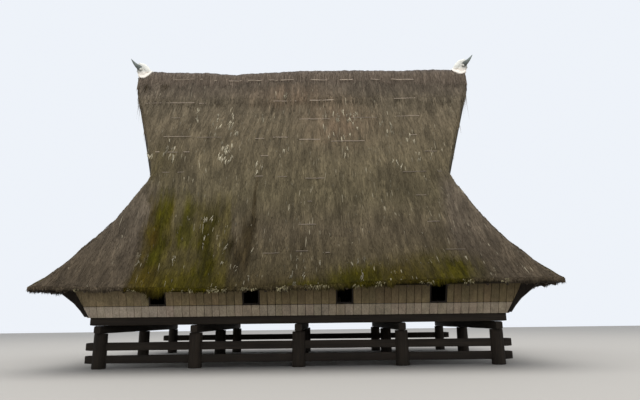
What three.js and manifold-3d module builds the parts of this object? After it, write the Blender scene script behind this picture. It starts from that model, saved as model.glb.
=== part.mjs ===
// Raised timber longhouse with a thatched roof: steep slopes between two outward-leaning gables,
// over a skirt that runs round all four sides. Millimetres, +Z up, a long side faces -Y.
import * as THREE from 'three';
import { mergeVertices } from 'three/addons/utils/BufferGeometryUtils.js';
import Module from 'manifold-3d';

const wasm = await Module();
wasm.setup();

// Clearance kept between pieces that touch, and how far each part of the roof's shell is moved out
// so that it clears its neighbours at the hips and the ridge
const GAP = 0.3;
const SHELL_MOVE = 0.7 * GAP;

// Posts and the timbers under the floor
const COLUMN_X = [-6450, -3350, 0, 3350, 6450];
const ROW_Y = { front: -4100, middle: 0, back: 4100 };
const POST_RADIUS = 230;
const POST_SIDES = 12;
const RAIL = { halfLength: 6900, thickness: 110, height: 260 };
const RAIL_CENTRE_Z = { lower: 290, upper: 690 };
const GIRDER = { bottom: 1100, top: 1350, width: 240, halfLength: 4460 };
const SILL = { bottom: 1350, top: 1630, width: 280, setBack: 80 };
const DECK_THICKNESS = 70;

// Walls: plan half sizes at the sill, lean as run per unit of rise, two bands of boards
const WALL = { halfX: 6800, halfY: 4500, lean: 0.45, thickness: 60, proud: 25 };
const BAND_SEAM = 330;
const WALL_REACH = 1620;
const WINDOW_X = [-4500, -1500, 1500, 4500];
const WINDOW = { width: 550, height: 620 };
const DOOR = { width: 900, height: 1200 };

// Corner boards: thickness, depth behind the wall's corner line, and how far out the outer edge
// lies at each rise above the sill, both along the diagonal of the corner
const CORNER_BOARD = { thickness: 80, inside: 130 };
const CORNER_BOARD_EDGE = [
  { rise: 0, out: 60 },
  { rise: 200, out: 217 },
  { rise: 420, out: 427 },
  { rise: 720, out: 838 },
  { rise: 1250, out: 1565 },
];

// Roof: the outer surface rises from the eave to the ridge, flatter at the eave
const EAVE = { halfX: 8200, halfY: 6000, top: 2500, bottom: 2400, cornerRadius: 600 };
const APEX_Z = 12300;
const STRAIGHT_SHARE = 0.57;
const NECK_Y = 2600;
const NECK_X = 5660;
const HIP_BOW = 1.17;
const VERGE_LEAN = 0.35;
const DROP = { eave: 360, ridge: 720 };
const SKIRT_STEPS = 6;
const UPPER_STEPS = 5;
const ARC_STEPS = 2;
const SKIRT_REACH = 1.1;
const REACH_SLOPE = 0.5;
const CAP = { halfWidth: 190, thickness: 150, setBack: 60, arcSteps: 6 };
const GABLE = { inset: 250, thickness: 70, foot: 6900, halfFoot: 2500 };
const GABLE_CUT = { foot: 4900, halfFoot: 7800 };

// Horned head at a ridge end: three lumps and a pair of horns
const HEAD_LUMPS = [
  { centre: [-7290, 0, 12450], half: [300, 230, 200], tilt: 0 },
  { centre: [-7270, 0, 12680], half: [200, 170, 290], tilt: 0.25 },
  { centre: [-7390, 0, 12900], half: [280, 165, 185], tilt: -0.75 },
];
const HORN = { root: 78, tip: 16, steps: 7, sides: 8 };
const HORN_BEND = [
  { x: -7400, aside: 90, z: 12850 },
  { x: -7600, aside: 430, z: 12850 },
  { x: -7830, aside: 400, z: 13240 },
];

const NECK_T = (EAVE.halfY - NECK_Y) / EAVE.halfY;
const LIP_T = 0.048;

const timber = { color: 0x4a4038, roughness: 0.9, metalness: 0 };
const board = { color: 0x7a7068, roughness: 0.88, metalness: 0 };
const shadedBoard = { color: 0x5d544a, roughness: 0.9, metalness: 0 };
const thatch = { color: 0x665c50, roughness: 1, metalness: 0 };
const ridgeThatch = { color: 0x574d45, roughness: 1, metalness: 0 };
const bamboo = { color: 0x8a7a5c, roughness: 0.85, metalness: 0 };
const whitewash = { color: 0xd8d4c8, roughness: 0.8, metalness: 0 };

const house = new THREE.Group();

// Adds one named piece to the house.
function addPiece(name, geometry, finish) {
  const mesh = new THREE.Mesh(geometry, new THREE.MeshStandardMaterial(finish));
  mesh.name = name;
  house.add(mesh);
  return mesh;
}

// Turns a closed geometry into a solid that can be cut and joined.
function toSolid(geometry) {
  const bare = geometry.clone();
  bare.deleteAttribute('normal');
  bare.deleteAttribute('uv');
  const merged = mergeVertices(bare, 1e-3);
  return new wasm.Manifold(new wasm.Mesh({
    numProp: 3,
    vertProperties: new Float32Array(merged.attributes.position.array),
    triVerts: new Uint32Array(merged.index.array),
  }));
}

// Turns a solid back into a geometry.
function toGeometry(solid) {
  const mesh = solid.getMesh();
  const geometry = new THREE.BufferGeometry();
  geometry.setAttribute('position', new THREE.BufferAttribute(new Float32Array(mesh.vertProperties), 3));
  geometry.setIndex(new THREE.BufferAttribute(new Uint32Array(mesh.triVerts), 1));
  geometry.computeVertexNormals();
  return geometry;
}

// Geometry from a list of triangles of points, leaving out those with no area.
function trianglesToGeometry(triangles) {
  const key = (p) => p.map((value) => value.toFixed(2)).join();
  const real = triangles.filter((t) => new Set(t.map(key)).size === 3);
  const geometry = new THREE.BufferGeometry();
  geometry.setAttribute('position', new THREE.BufferAttribute(new Float32Array(real.flat(2)), 3));
  return geometry;
}

// The two triangles of a quad whose corners run counter-clockwise seen from outside, split along
// its first diagonal or, for the mirror image, along the other one.
function quad(a, b, c, d, mirrorSplit = false) {
  return mirrorSplit ? [[b, c, d], [b, d, a]] : [[a, b, c], [a, c, d]];
}

// Closed shell between two grids of points: rows run up the slope, columns run to the right as seen
// from outside. The right half is split into triangles as the mirror image of the left half.
function shellGeometry(outer, inner) {
  const triangles = [];
  const lastRow = outer.length - 1;
  const lastColumn = outer[0].length - 1;
  for (let j = 0; j < lastRow; j += 1) {
    const above = j + 1;
    for (let i = 0; i < lastColumn; i += 1) {
      const right = i + 1;
      const split = i >= lastColumn / 2;
      triangles.push(...quad(outer[j][i], outer[j][right], outer[above][right], outer[above][i], split));
      triangles.push(...quad(inner[j][right], inner[j][i], inner[above][i], inner[above][right], split));
    }
    const k = lastColumn;
    triangles.push(...quad(outer[j][0], outer[above][0], inner[above][0], inner[j][0]));
    triangles.push(...quad(outer[above][k], outer[j][k], inner[j][k], inner[above][k], true));
  }
  for (let i = 0; i < lastColumn; i += 1) {
    triangles.push(...quad(outer[0][i + 1], outer[0][i], inner[0][i], inner[0][i + 1]));
    const j = lastRow;
    triangles.push(...quad(outer[j][i], outer[j][i + 1], inner[j][i + 1], inner[j][i]));
  }
  return trianglesToGeometry(triangles);
}

// Closed body between two convex loops with the same number of points; the near loop runs
// counter-clockwise seen from its own side.
function loftGeometry(near, far) {
  const triangles = [];
  const count = near.length;
  for (let i = 0; i < count; i += 1) {
    const next = (i + 1) % count;
    triangles.push(...quad(near[next], near[i], far[i], far[next]));
    if (i > 0 && next > 0) {
      triangles.push([near[0], near[i], near[next]]);
      triangles.push([far[0], far[next], far[i]]);
    }
  }
  return trianglesToGeometry(triangles);
}

// A box between two corners.
function boxGeometry(x0, x1, y0, y1, z0, z1) {
  const geometry = new THREE.BoxGeometry(x1 - x0, y1 - y0, z1 - z0);
  geometry.translate((x0 + x1) / 2, (y0 + y1) / 2, (z0 + z1) / 2);
  return geometry;
}

// The same geometry turned half a turn about the upright axis through the centre of the house.
function turned(geometry) {
  return geometry.clone().rotateZ(Math.PI);
}

// The same geometry mirrored across the plane X = 0, with its faces turned to point out again.
function mirroredX(solid) {
  return solid.mirror([1, 0, 0]);
}

// Posts, with mortises where the rails run through the front and back rows
function railBox(row, level, clearance) {
  const y = ROW_Y[row];
  const z = RAIL_CENTRE_Z[level];
  const halfThickness = RAIL.thickness / 2 + clearance;
  const halfHeight = RAIL.height / 2 + clearance;
  return boxGeometry(
    -RAIL.halfLength, RAIL.halfLength,
    y - halfThickness, y + halfThickness,
    z - halfHeight, z + halfHeight,
  );
}

function postGeometry(x, row) {
  const height = GIRDER.bottom - GAP;
  const post = new THREE.CylinderGeometry(POST_RADIUS, POST_RADIUS, height, POST_SIDES);
  post.rotateX(Math.PI / 2);
  post.translate(x, ROW_Y[row], height / 2);
  if (row === 'middle') {
    return post;
  }
  const mortised = Object.keys(RAIL_CENTRE_Z).reduce(
    (solid, level) => solid.subtract(toSolid(railBox(row, level, GAP))),
    toSolid(post),
  );
  return toGeometry(mortised);
}

for (const row of Object.keys(ROW_Y)) {
  COLUMN_X.forEach((x, index) => {
    addPiece(`post_${row}_${index + 1}`, postGeometry(x, row), timber);
  });
}

for (const row of ['front', 'back']) {
  for (const level of Object.keys(RAIL_CENTRE_Z)) {
    addPiece(`rail_${row}_${level}`, railBox(row, level, 0), timber);
  }
}

// Cross girders on the posts, the ring of sills on the girders, and the floor inside the ring
COLUMN_X.forEach((x, index) => {
  const half = GIRDER.width / 2;
  const girder = boxGeometry(
    x - half, x + half, -GIRDER.halfLength, GIRDER.halfLength, GIRDER.bottom, GIRDER.top,
  );
  addPiece(`girder_${index + 1}`, girder, timber);
});

const sillOuterX = WALL.halfX - SILL.setBack;
const sillOuterY = WALL.halfY - SILL.setBack;
const sillInnerX = sillOuterX - SILL.width;
const sillInnerY = sillOuterY - SILL.width;
const sillFoot = SILL.bottom + GAP;

const frontSill = boxGeometry(-sillOuterX, sillOuterX, -sillOuterY, -sillInnerY, sillFoot, SILL.top);
const leftSill = boxGeometry(
  -sillOuterX, -sillInnerX, -sillInnerY + GAP, sillInnerY - GAP, sillFoot, SILL.top,
);
addPiece('sill_front', frontSill, timber);
addPiece('sill_back', turned(frontSill), timber);
addPiece('sill_left', leftSill, timber);
addPiece('sill_right', turned(leftSill), timber);

const floorDeck = boxGeometry(
  -sillInnerX + GAP, sillInnerX - GAP,
  -sillInnerY + GAP, sillInnerY - GAP,
  sillFoot, sillFoot + DECK_THICKNESS,
);
addPiece('floor_deck', floorDeck, shadedBoard);

// Height of the outer roof surface at a share t of the way in from the front eave to the ridge
function roofZ(t) {
  return EAVE.top + (APEX_Z - EAVE.top) * (STRAIGHT_SHARE * t + (1 - STRAIGHT_SHARE) * t * t);
}

// Height of the underside at the same place in plan: flat at the lip, then a steady drop
function undersideZ(t) {
  const drop = DROP.eave + (DROP.ridge - DROP.eave) * t;
  return Math.max(roofZ(t) - drop, EAVE.bottom);
}

// Half width of the roof at the verge, which leans outwards as it climbs
function vergeX(z) {
  return NECK_X + Math.max(z - roofZ(NECK_T), 0) * VERGE_LEAN;
}

// Plan sizes of the skirt at a share s of the way from the eave to the neck, or on past it; the
// ends bow inwards on the way up
function skirtPlan(s) {
  const run = EAVE.halfX - NECK_X;
  const left = s <= 1 ? (1 - s) ** HIP_BOW : (1 - s) * REACH_SLOPE;
  return {
    halfX: NECK_X + run * left,
    halfY: EAVE.halfY + (NECK_Y - EAVE.halfY) * s,
    radius: EAVE.cornerRadius * Math.max(1 - s, 0),
  };
}

// Points of one rounded corner of the skirt, between two angles in degrees, on the left side
function cornerArc(s, sideY, fromDegrees, toDegrees) {
  const { halfX, halfY, radius } = skirtPlan(s);
  const centreX = -halfX + radius;
  const centreY = sideY * (halfY - radius);
  return Array.from({ length: ARC_STEPS + 1 }, (_, k) => {
    const degrees = fromDegrees + ((toDegrees - fromDegrees) * k) / ARC_STEPS;
    const angle = THREE.MathUtils.degToRad(degrees);
    return [centreX + radius * Math.cos(angle), centreY + radius * Math.sin(angle)];
  });
}

const skirtShares = [0, LIP_T / NECK_T];
for (let k = 1; k <= SKIRT_STEPS; k += 1) {
  skirtShares.push(LIP_T / NECK_T + ((1 - LIP_T / NECK_T) * k) / SKIRT_STEPS);
}

// One long slope, from the middle of one rounded corner to the middle of the other and up to the
// ridge; moved out by a hair so that it clears its neighbours at the hips and the ridge.
function longSlopeGeometry() {
  const outer = [];
  const inner = [];
  for (const s of skirtShares) {
    const left = cornerArc(s, -1, 225, 270);
    const right = left.map(([x, y]) => [-x, y]).reverse();
    const row = [...left, ...right];
    outer.push(row.map(([x, y]) => [x, y, roofZ(s * NECK_T)]));
    inner.push(row.map(([x, y]) => [x, y, undersideZ(s * NECK_T)]));
  }
  const columns = outer[0].length;
  for (let k = 1; k <= UPPER_STEPS; k += 1) {
    const t = NECK_T + ((1 - NECK_T) * k) / UPPER_STEPS;
    const y = -EAVE.halfY * (1 - t);
    const rowAt = (z) => Array.from({ length: columns }, (_, i) => {
      const side = i < columns / 2 ? -1 : 1;
      return [side * vergeX(z), y, z];
    });
    outer.push(rowAt(roofZ(t)));
    inner.push(rowAt(undersideZ(t)));
  }
  return shellGeometry(outer, inner).translate(0, -SHELL_MOVE, 0);
}

const frontSlope = longSlopeGeometry();
const backSlope = turned(frontSlope);
const frontSlopeSolid = toSolid(frontSlope);
const backSlopeSolid = toSolid(backSlope);

// Small moves that keep a hair of space below a slope and beside its ends
const clearingMoves = [
  [0, 0, 0],
  [0, 0, -GAP - SHELL_MOVE],
  [GAP, 0, 0],
  [-GAP, 0, 0],
  [0, GAP, 0],
  [0, -GAP, 0],
];

// Takes the given slopes away from a solid, with the space that they need.
function clearOf(slopes, solid) {
  return slopes.reduce(
    (rest, slope) => clearingMoves.reduce((left, move) => left.subtract(slope.translate(move)), rest),
    solid,
  );
}

// Leaning slab of a gable: its outer face is set in from the verge.
function gableSlab(faceInset, thickness, halfFoot, foot, peak) {
  const point = (y, z, inset) => [-(vergeX(z) + (z < roofZ(NECK_T) ? lowerLean(z) : 0)) + inset, y, z];
  const loop = (inset) => [
    point(halfFoot, foot, inset),
    point(-halfFoot, foot, inset),
    point(0, peak, inset),
  ];
  return loftGeometry(loop(faceInset), loop(faceInset + thickness));
}

// The lean carried on below the neck
function lowerLean(z) {
  return (z - roofZ(NECK_T)) * VERGE_LEAN;
}

const gablePeak = (roofZ(1) + undersideZ(1)) / 2;

// End skirt: wraps both half corners, runs up behind the neck, and stops at the gable's face.
function endSkirtSolid() {
  const outer = [];
  const inner = [];
  for (const s of [...skirtShares, SKIRT_REACH]) {
    const row = [...cornerArc(s, 1, 135, 180), ...cornerArc(s, -1, 180, 225)];
    outer.push(row.map(([x, y]) => [x, y, roofZ(s * NECK_T)]));
    inner.push(row.map(([x, y]) => [x, y, undersideZ(s * NECK_T)]));
  }
  const shell = toSolid(shellGeometry(outer, inner).translate(-SHELL_MOVE, 0, -GAP));
  const behindGable = toSolid(
    gableSlab(GABLE.inset - GAP, NECK_X, GABLE_CUT.halfFoot, GABLE_CUT.foot, APEX_Z),
  );
  return clearOf([frontSlopeSolid, backSlopeSolid], shell.subtract(behindGable));
}

const leftSkirtSolid = endSkirtSolid();
const rightSkirtSolid = mirroredX(leftSkirtSolid);

addPiece('front_thatch', frontSlope, thatch);
addPiece('back_thatch', backSlope, thatch);
addPiece('left_skirt_thatch', toGeometry(leftSkirtSolid), thatch);
addPiece('right_skirt_thatch', toGeometry(rightSkirtSolid), thatch);

// The largest of the bodies that a cut leaves
function largestBody(solid) {
  const bodies = solid.decompose();
  return bodies.reduce((best, body) => (body.volume() > best.volume() ? body : best), bodies[0]);
}

// Takes away from a solid all the thatch, and what is left of the solid above it.
function clearOfThatch(solid) {
  return largestBody(clearOf([frontSlopeSolid, backSlopeSolid, leftSkirtSolid, rightSkirtSolid], solid));
}

// Gable panels
const leftGable = clearOfThatch(toSolid(
  gableSlab(GABLE.inset, GABLE.thickness, GABLE.halfFoot, GABLE.foot, gablePeak),
));
addPiece('left_gable', toGeometry(leftGable), bamboo);
addPiece('right_gable', toGeometry(mirroredX(leftGable)), bamboo);

// Ridge cap: a saddle that follows both slopes underneath and is rounded on top
function ridgeCapGeometry() {
  const topStep = (1 - NECK_T) / UPPER_STEPS;
  const slope = (roofZ(1) - roofZ(1 - topStep)) / (topStep * EAVE.halfY);
  const normalAngle = Math.PI / 2 - Math.atan(slope);
  const seat = (y) => [y, APEX_Z + 3 * GAP - Math.abs(y) * slope];
  const lifted = (y, angle) => {
    const [, z] = seat(y);
    return [y + CAP.thickness * Math.cos(angle), z + CAP.thickness * Math.sin(angle)];
  };
  const crown = Array.from({ length: CAP.arcSteps + 1 }, (_, k) => (
    lifted(0, normalAngle + ((Math.PI - 2 * normalAngle) * k) / CAP.arcSteps)
  ));
  const outline = [
    lifted(CAP.halfWidth, normalAngle),
    ...crown,
    lifted(-CAP.halfWidth, Math.PI - normalAngle),
    seat(-CAP.halfWidth),
    seat(0),
    seat(CAP.halfWidth),
  ];
  const shape = new THREE.Shape(outline.map(([y, z]) => new THREE.Vector2(y, z)));
  const length = 2 * (vergeX(APEX_Z) - CAP.setBack);
  const geometry = new THREE.ExtrudeGeometry(shape, { depth: length, bevelEnabled: false });
  geometry.translate(0, 0, -length / 2);
  const alongX = new THREE.Matrix4().makeBasis(
    new THREE.Vector3(0, 1, 0),
    new THREE.Vector3(0, 0, 1),
    new THREE.Vector3(1, 0, 0),
  );
  return geometry.applyMatrix4(alongX);
}

const ridgeCap = ridgeCapGeometry();
const ridgeCapSolid = toSolid(ridgeCap);
addPiece('ridge_cap', ridgeCap, ridgeThatch);

// Horn: rings along a bend, thinning to the tip
function hornGeometry(side) {
  const bend = new THREE.QuadraticBezierCurve3(
    ...HORN_BEND.map(({ x, aside, z }) => new THREE.Vector3(x, side * aside, z)),
  );
  const { steps, sides } = HORN;
  const rings = Array.from({ length: steps + 1 }, (_, k) => {
    const share = k / steps;
    const centre = bend.getPoint(share);
    const along = bend.getTangent(share);
    const across = new THREE.Vector3(0, 0, 1).cross(along).normalize();
    const up = along.clone().cross(across).normalize();
    const radius = HORN.root + (HORN.tip - HORN.root) * share;
    return Array.from({ length: sides }, (_unused, i) => {
      const angle = (2 * Math.PI * i) / sides;
      const point = centre.clone();
      point.addScaledVector(across, radius * Math.cos(angle));
      point.addScaledVector(up, radius * Math.sin(angle));
      return point.toArray();
    });
  });
  const triangles = [];
  for (let k = 0; k < steps; k += 1) {
    for (let i = 0; i < sides; i += 1) {
      const next = (i + 1) % sides;
      triangles.push(...quad(rings[k][i], rings[k][next], rings[k + 1][next], rings[k + 1][i]));
    }
  }
  for (let i = 1; i < sides - 1; i += 1) {
    triangles.push([rings[0][0], rings[0][i + 1], rings[0][i]]);
    triangles.push([rings[steps][0], rings[steps][i], rings[steps][i + 1]]);
  }
  return trianglesToGeometry(triangles);
}

// An egg-shaped lump with the given centre and half sizes
function lump({ centre, half, tilt }) {
  const geometry = new THREE.SphereGeometry(1, 12, 8);
  geometry.scale(...half);
  geometry.rotateY(tilt);
  geometry.translate(...centre);
  return toSolid(geometry);
}

// Horned head on a whitewashed saddle, at the left end of the ridge
function finialSolid() {
  const horns = [-1, 1].map((side) => toSolid(hornGeometry(side)));
  const whole = [...HEAD_LUMPS.map(lump), ...horns].reduce((sum, part) => sum.add(part));
  return [ridgeCapSolid, frontSlopeSolid, backSlopeSolid].reduce((rest, below) => {
    const raised = below.translate([0, 0, GAP]);
    const pushedOut = below.translate([-GAP, 0, 0]);
    return rest.subtract(raised).subtract(pushedOut).subtract(below);
  }, whole);
}

const leftFinial = largestBody(finialSolid());
addPiece('left_ridge_finial', toGeometry(leftFinial), whitewash);
addPiece('right_ridge_finial', toGeometry(mirroredX(leftFinial)), whitewash);

// Walls. A panel leans outwards and is given by where it starts and ends along the wall and by its
// rise above the sill; 'corner' means that it ends at the mitre beside a corner board.
const wallFoot = SILL.top + GAP;
const mitreRoom = (CORNER_BOARD.thickness / 2 + GAP) * Math.SQRT2;

function panelGeometry(long, from, to, low, high, proud) {
  const baseOut = long ? WALL.halfY : WALL.halfX;
  const baseAlong = long ? WALL.halfX : WALL.halfY;
  const corner = (end, side, rise, depth) => {
    const out = baseOut + WALL.lean * rise + proud - depth;
    const mitre = baseAlong + WALL.lean * rise + proud - depth - mitreRoom;
    const along = end === 'corner' ? side * mitre : end;
    return long ? [along, -out, wallFoot + rise] : [-out, -along, wallFoot + rise];
  };
  const face = (depth) => [
    corner(from, -1, low, depth),
    corner(to, 1, low, depth),
    corner(to, 1, high, depth),
    corner(from, -1, high, depth),
  ];
  return loftGeometry(face(0), face(WALL.thickness + proud));
}

// Two bands on a long wall; the windows are cut down to the seam in the upper one
function longWallUpper() {
  const panel = toSolid(panelGeometry(true, 'corner', 'corner', BAND_SEAM + GAP, WALL_REACH, 0));
  const depth = 3 * WALL.lean * WINDOW.height + WALL.thickness;
  const sill = wallFoot + BAND_SEAM;
  return clearOfThatch(WINDOW_X.reduce((rest, x) => {
    const hole = boxGeometry(
      x - WINDOW.width / 2, x + WINDOW.width / 2,
      -WALL.halfY - depth, -WALL.halfY + depth,
      sill - 1, sill + WINDOW.height,
    );
    return rest.subtract(toSolid(hole));
  }, panel));
}

const lowerBand = panelGeometry(true, 'corner', 'corner', 0, BAND_SEAM, WALL.proud);
const upperBand = toGeometry(longWallUpper());
addPiece('front_wall_lower', lowerBand, board);
addPiece('front_wall_upper', upperBand, shadedBoard);
addPiece('back_wall_lower', turned(lowerBand), board);
addPiece('back_wall_upper', turned(upperBand), shadedBoard);

// End walls, split beside and over the doorway
const doorHalf = DOOR.width / 2;
const endWall = {
  back_part: panelGeometry(false, 'corner', -doorHalf, 0, WALL_REACH, 0),
  front_part: panelGeometry(false, doorHalf, 'corner', 0, WALL_REACH, 0),
  over_door: panelGeometry(false, -doorHalf + GAP, doorHalf - GAP, DOOR.height, WALL_REACH, 0),
};
for (const [part, geometry] of Object.entries(endWall)) {
  const trimmed = clearOfThatch(toSolid(geometry));
  addPiece(`left_wall_${part}`, toGeometry(trimmed), shadedBoard);
  addPiece(`right_wall_${part}`, toGeometry(mirroredX(trimmed)), shadedBoard);
}

// Corner boards stand in the plane that halves each corner and widen towards the eave
function cornerBoardSolid() {
  const { thickness, inside } = CORNER_BOARD;
  const top = CORNER_BOARD_EDGE.at(-1).rise;
  const outline = [
    [-inside, 0],
    ...CORNER_BOARD_EDGE.map(({ rise, out }) => [out, rise]),
    [WALL.lean * Math.SQRT2 * top - inside, top],
  ];
  const shape = new THREE.Shape(outline.map(([out, rise]) => new THREE.Vector2(out, rise)));
  const geometry = new THREE.ExtrudeGeometry(shape, { depth: thickness, bevelEnabled: false });
  geometry.translate(0, 0, -thickness / 2);
  const outwards = new THREE.Vector3(-Math.SQRT1_2, -Math.SQRT1_2, 0);
  const up = new THREE.Vector3(0, 0, 1);
  const inCorner = new THREE.Matrix4().makeBasis(outwards, up, outwards.clone().cross(up));
  geometry.applyMatrix4(inCorner).translate(-WALL.halfX, -WALL.halfY, wallFoot);
  return clearOfThatch(toSolid(geometry));
}

const frontLeftBoard = toGeometry(cornerBoardSolid());
const frontRightBoard = toGeometry(mirroredX(toSolid(frontLeftBoard)));
addPiece('corner_board_front_left', frontLeftBoard, timber);
addPiece('corner_board_front_right', frontRightBoard, timber);
addPiece('corner_board_back_right', turned(frontLeftBoard), timber);
addPiece('corner_board_back_left', turned(frontRightBoard), timber);

export default house;
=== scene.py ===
# %% [markdown]
# # A raised longhouse under a great thatched roof
#
# The house is a long wooden room on posts, under a roof that is three times as tall as its walls.
# Black palm-fibre thatch covers the roof. Two steep slopes meet at a ridge, the gables between them
# lean outwards, and below the gables a skirt of thatch runs round all four sides.
# This lesson dresses a plain solid model of that house. Each cell makes one kind of piece, and
# first says what it is on the real house and why it is made this way.

# %% Load the frame
import math

import bpy
import numpy as np
from mathutils import Matrix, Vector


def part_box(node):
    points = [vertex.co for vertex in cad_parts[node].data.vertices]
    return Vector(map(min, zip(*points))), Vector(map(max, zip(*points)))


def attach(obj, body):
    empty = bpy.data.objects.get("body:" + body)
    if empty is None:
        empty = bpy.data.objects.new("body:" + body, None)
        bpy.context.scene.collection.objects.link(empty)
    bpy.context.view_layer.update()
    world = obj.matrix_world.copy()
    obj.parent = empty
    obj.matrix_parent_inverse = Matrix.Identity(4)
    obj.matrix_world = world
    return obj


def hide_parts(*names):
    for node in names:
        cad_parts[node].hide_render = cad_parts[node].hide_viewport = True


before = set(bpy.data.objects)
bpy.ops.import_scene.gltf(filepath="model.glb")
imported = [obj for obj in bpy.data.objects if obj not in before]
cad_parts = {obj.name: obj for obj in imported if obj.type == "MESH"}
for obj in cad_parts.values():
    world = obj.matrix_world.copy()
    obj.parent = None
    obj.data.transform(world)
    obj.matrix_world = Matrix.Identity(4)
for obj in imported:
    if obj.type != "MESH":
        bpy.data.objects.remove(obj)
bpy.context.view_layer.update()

# %% [markdown]
# ## The camera
#
# The camera stands where a visitor would, a little right of the middle of the long side, at the
# height of a visitor's eyes. The lens is given by its focal length in pixels of a picture 640
# pixels wide, and the tilt by how far the horizon lies below the picture's centre.

# %% Camera
IMAGE_WIDTH_PX = 640
FOCAL_PX = 500.0
HORIZON_BELOW_CENTRE_PX = 120
ROLL_DEGREES = 0.7
EYE = (0.75, -21.0, 1.45)
SENSOR_MM = 36.0

camera_data = bpy.data.cameras.new("camera")
camera_data.sensor_width = SENSOR_MM
camera_data.lens = SENSOR_MM * FOCAL_PX / IMAGE_WIDTH_PX
camera = bpy.data.objects.new("camera", camera_data)
bpy.context.scene.collection.objects.link(camera)
tilt = math.radians(90) + math.atan(HORIZON_BELOW_CENTRE_PX / FOCAL_PX)
roll = Matrix.Rotation(-math.radians(ROLL_DEGREES), 4, "Z")
camera.matrix_world = Matrix.Translation(EYE) @ Matrix.Rotation(tilt, 4, "X") @ roll
bpy.context.scene.camera = camera
print("lens in mm:", round(camera_data.lens, 2))

# %% [markdown]
# ## From arrays to meshes
#
# Every new piece is worked out as arrays of points with numpy, with no loop over single points.
# One helper hands the arrays to Blender. It takes the points and one or more arrays of faces, each
# with the same number of corners in every row. A tint for each point and a pair of lay coordinates
# (metres across and along the fibres or the grain) go with them, and the materials read both.


# %% Mesh helper
def box_corners(node):
    """Lowest and highest corner of the box round a solid."""
    return [np.array(corner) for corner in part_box(node)]


def quarter_turn(points, quarters):
    """The same points turned about the upright axis by so many right angles, counter-clockwise."""
    turned = np.array(points, dtype=np.float64)
    for _ in range(quarters % 4):
        turned = np.stack([-turned[..., 1], turned[..., 0], turned[..., 2]], axis=-1)
    return turned


def put_mesh(name, points, face_sets, tint=None, lay=None, smooth=True, quarters=0, sharp=None):
    """Mesh object from points (n, 3) and face arrays (m, corners), with tint (n, 3) and lay (n, 2).

    It is turned by so many quarters, and edges that bend by more than sharp degrees stay sharp.
    """
    points = quarter_turn(np.reshape(points, (-1, 3)), quarters)
    corners = np.concatenate([faces.ravel() for faces in face_sets]).astype(np.int32)
    sizes = np.concatenate([np.full(len(faces), faces.shape[1]) for faces in face_sets])
    mesh = bpy.data.meshes.new(name)
    mesh.vertices.add(len(points))
    mesh.vertices.foreach_set("co", points.ravel())
    mesh.loops.add(len(corners))
    mesh.loops.foreach_set("vertex_index", corners)
    mesh.polygons.add(len(sizes))
    mesh.polygons.foreach_set("loop_start", (np.cumsum(sizes) - sizes).astype(np.int32))
    mesh.polygons.foreach_set("use_smooth", np.full(len(sizes), smooth))
    mesh.update(calc_edges=True)
    if tint is not None:
        colours = np.ones((len(points), 4))
        colours[:, :3] = tint
        layer = mesh.color_attributes.new(name="tint", type="FLOAT_COLOR", domain="POINT")
        layer.data.foreach_set("color", colours.ravel())
    if lay is not None:
        layer = mesh.uv_layers.new(name="lay")
        layer.data.foreach_set("uv", np.asarray(lay)[corners].ravel())
    if sharp is not None:
        mesh.set_sharp_from_angle(angle=math.radians(sharp))
    piece = bpy.data.objects.new(name, mesh)
    bpy.context.scene.collection.objects.link(piece)
    triangles = int(np.sum(sizes - 2))
    print(f"{name}: {len(points)} points, {triangles} triangles")
    return piece


def place(piece, material, slot, *nodes):
    """Gives a piece its material and its body, and hides the solids that it stands for; the slot is not used.
    """
    piece.data.materials.append(material)
    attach(piece, "root")
    if nodes:
        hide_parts(*nodes)
    return piece


# %% [markdown]
# ## Colours and soft noise
#
# Colours are named as they look on screen and turned into the linear values that a renderer adds
# up. Soft noise gives a smooth random height at any place: random numbers on a square lattice,
# blended between the four nearest ones. A whole array of places goes in at once.


# %% Colours and noise
def linear(red, green, blue):
    """Linear colour from screen values of 0 to 255: divide by 255 and raise to the power 2.2."""
    return (np.array([red, green, blue]) / 255.0) ** 2.2


def smooth_step(share):
    """The smooth step 3f^2 - 2f^3 of a share from 0 to 1."""
    return share * share * (3 - 2 * share)


def soft_noise(u, v, seed):
    """Value noise from -1 to 1: lattice randoms blended by the smooth step."""
    column = np.floor(u)
    row = np.floor(v)
    across = smooth_step(u - column)
    up = smooth_step(v - row)

    def lattice(i, j):
        """A fixed random number from 0 to 1 at a lattice corner: the fraction of a large sine."""
        value = np.sin(i * 127.1 + j * 311.7 + seed * 74.7) * 43758.5453
        return value - np.floor(value)

    low = lattice(column, row) * (1 - across) + lattice(column + 1, row) * across
    high = lattice(column, row + 1) * (1 - across) + lattice(column + 1, row + 1) * across
    return 2 * (low * (1 - up) + high * up) - 1


def two_noises(u, v, coarse, fine, share, seed):
    """Soft noise of a coarse size and a share of it at a fine size; each size is a pair for u and v."""
    first = soft_noise(u / coarse[0], v / coarse[1], seed)
    return first + share * soft_noise(u / fine[0], v / fine[1], seed + 1)


def blob(x, z, centre_x, centre_z, half_x, half_z):
    """A soft patch: 1 at its centre, falling off as a bell with the given half sizes."""
    return np.exp(-((x - centre_x) / half_x) ** 2 - ((z - centre_z) / half_z) ** 2)


def unit(vectors):
    """The same vectors at length one."""
    return vectors / np.maximum(np.linalg.norm(vectors, axis=-1, keepdims=True), 1e-9)


def uneven(rng, spread, count, mean=0.0):
    """A random factor near 1 for each of count things, as a column: e to a normal random power."""
    return np.exp(rng.normal(mean, spread, count))[:, None]


print("noise at the origin:", float(soft_noise(np.zeros(1), np.zeros(1), 1)[0]))

# %% [markdown]
# ## The roof as a function
#
# All four faces of the roof come from one function of two numbers: the place along the eave, and
# the share t of the way in from the eave to the ridge. The height is a blend of t and t squared, so
# the thatch is flat at the eave and steep at the ridge. The sizes are read off the solid model, and
# the bends repeat its rule, so the thatch lies just where the solids are.

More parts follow.
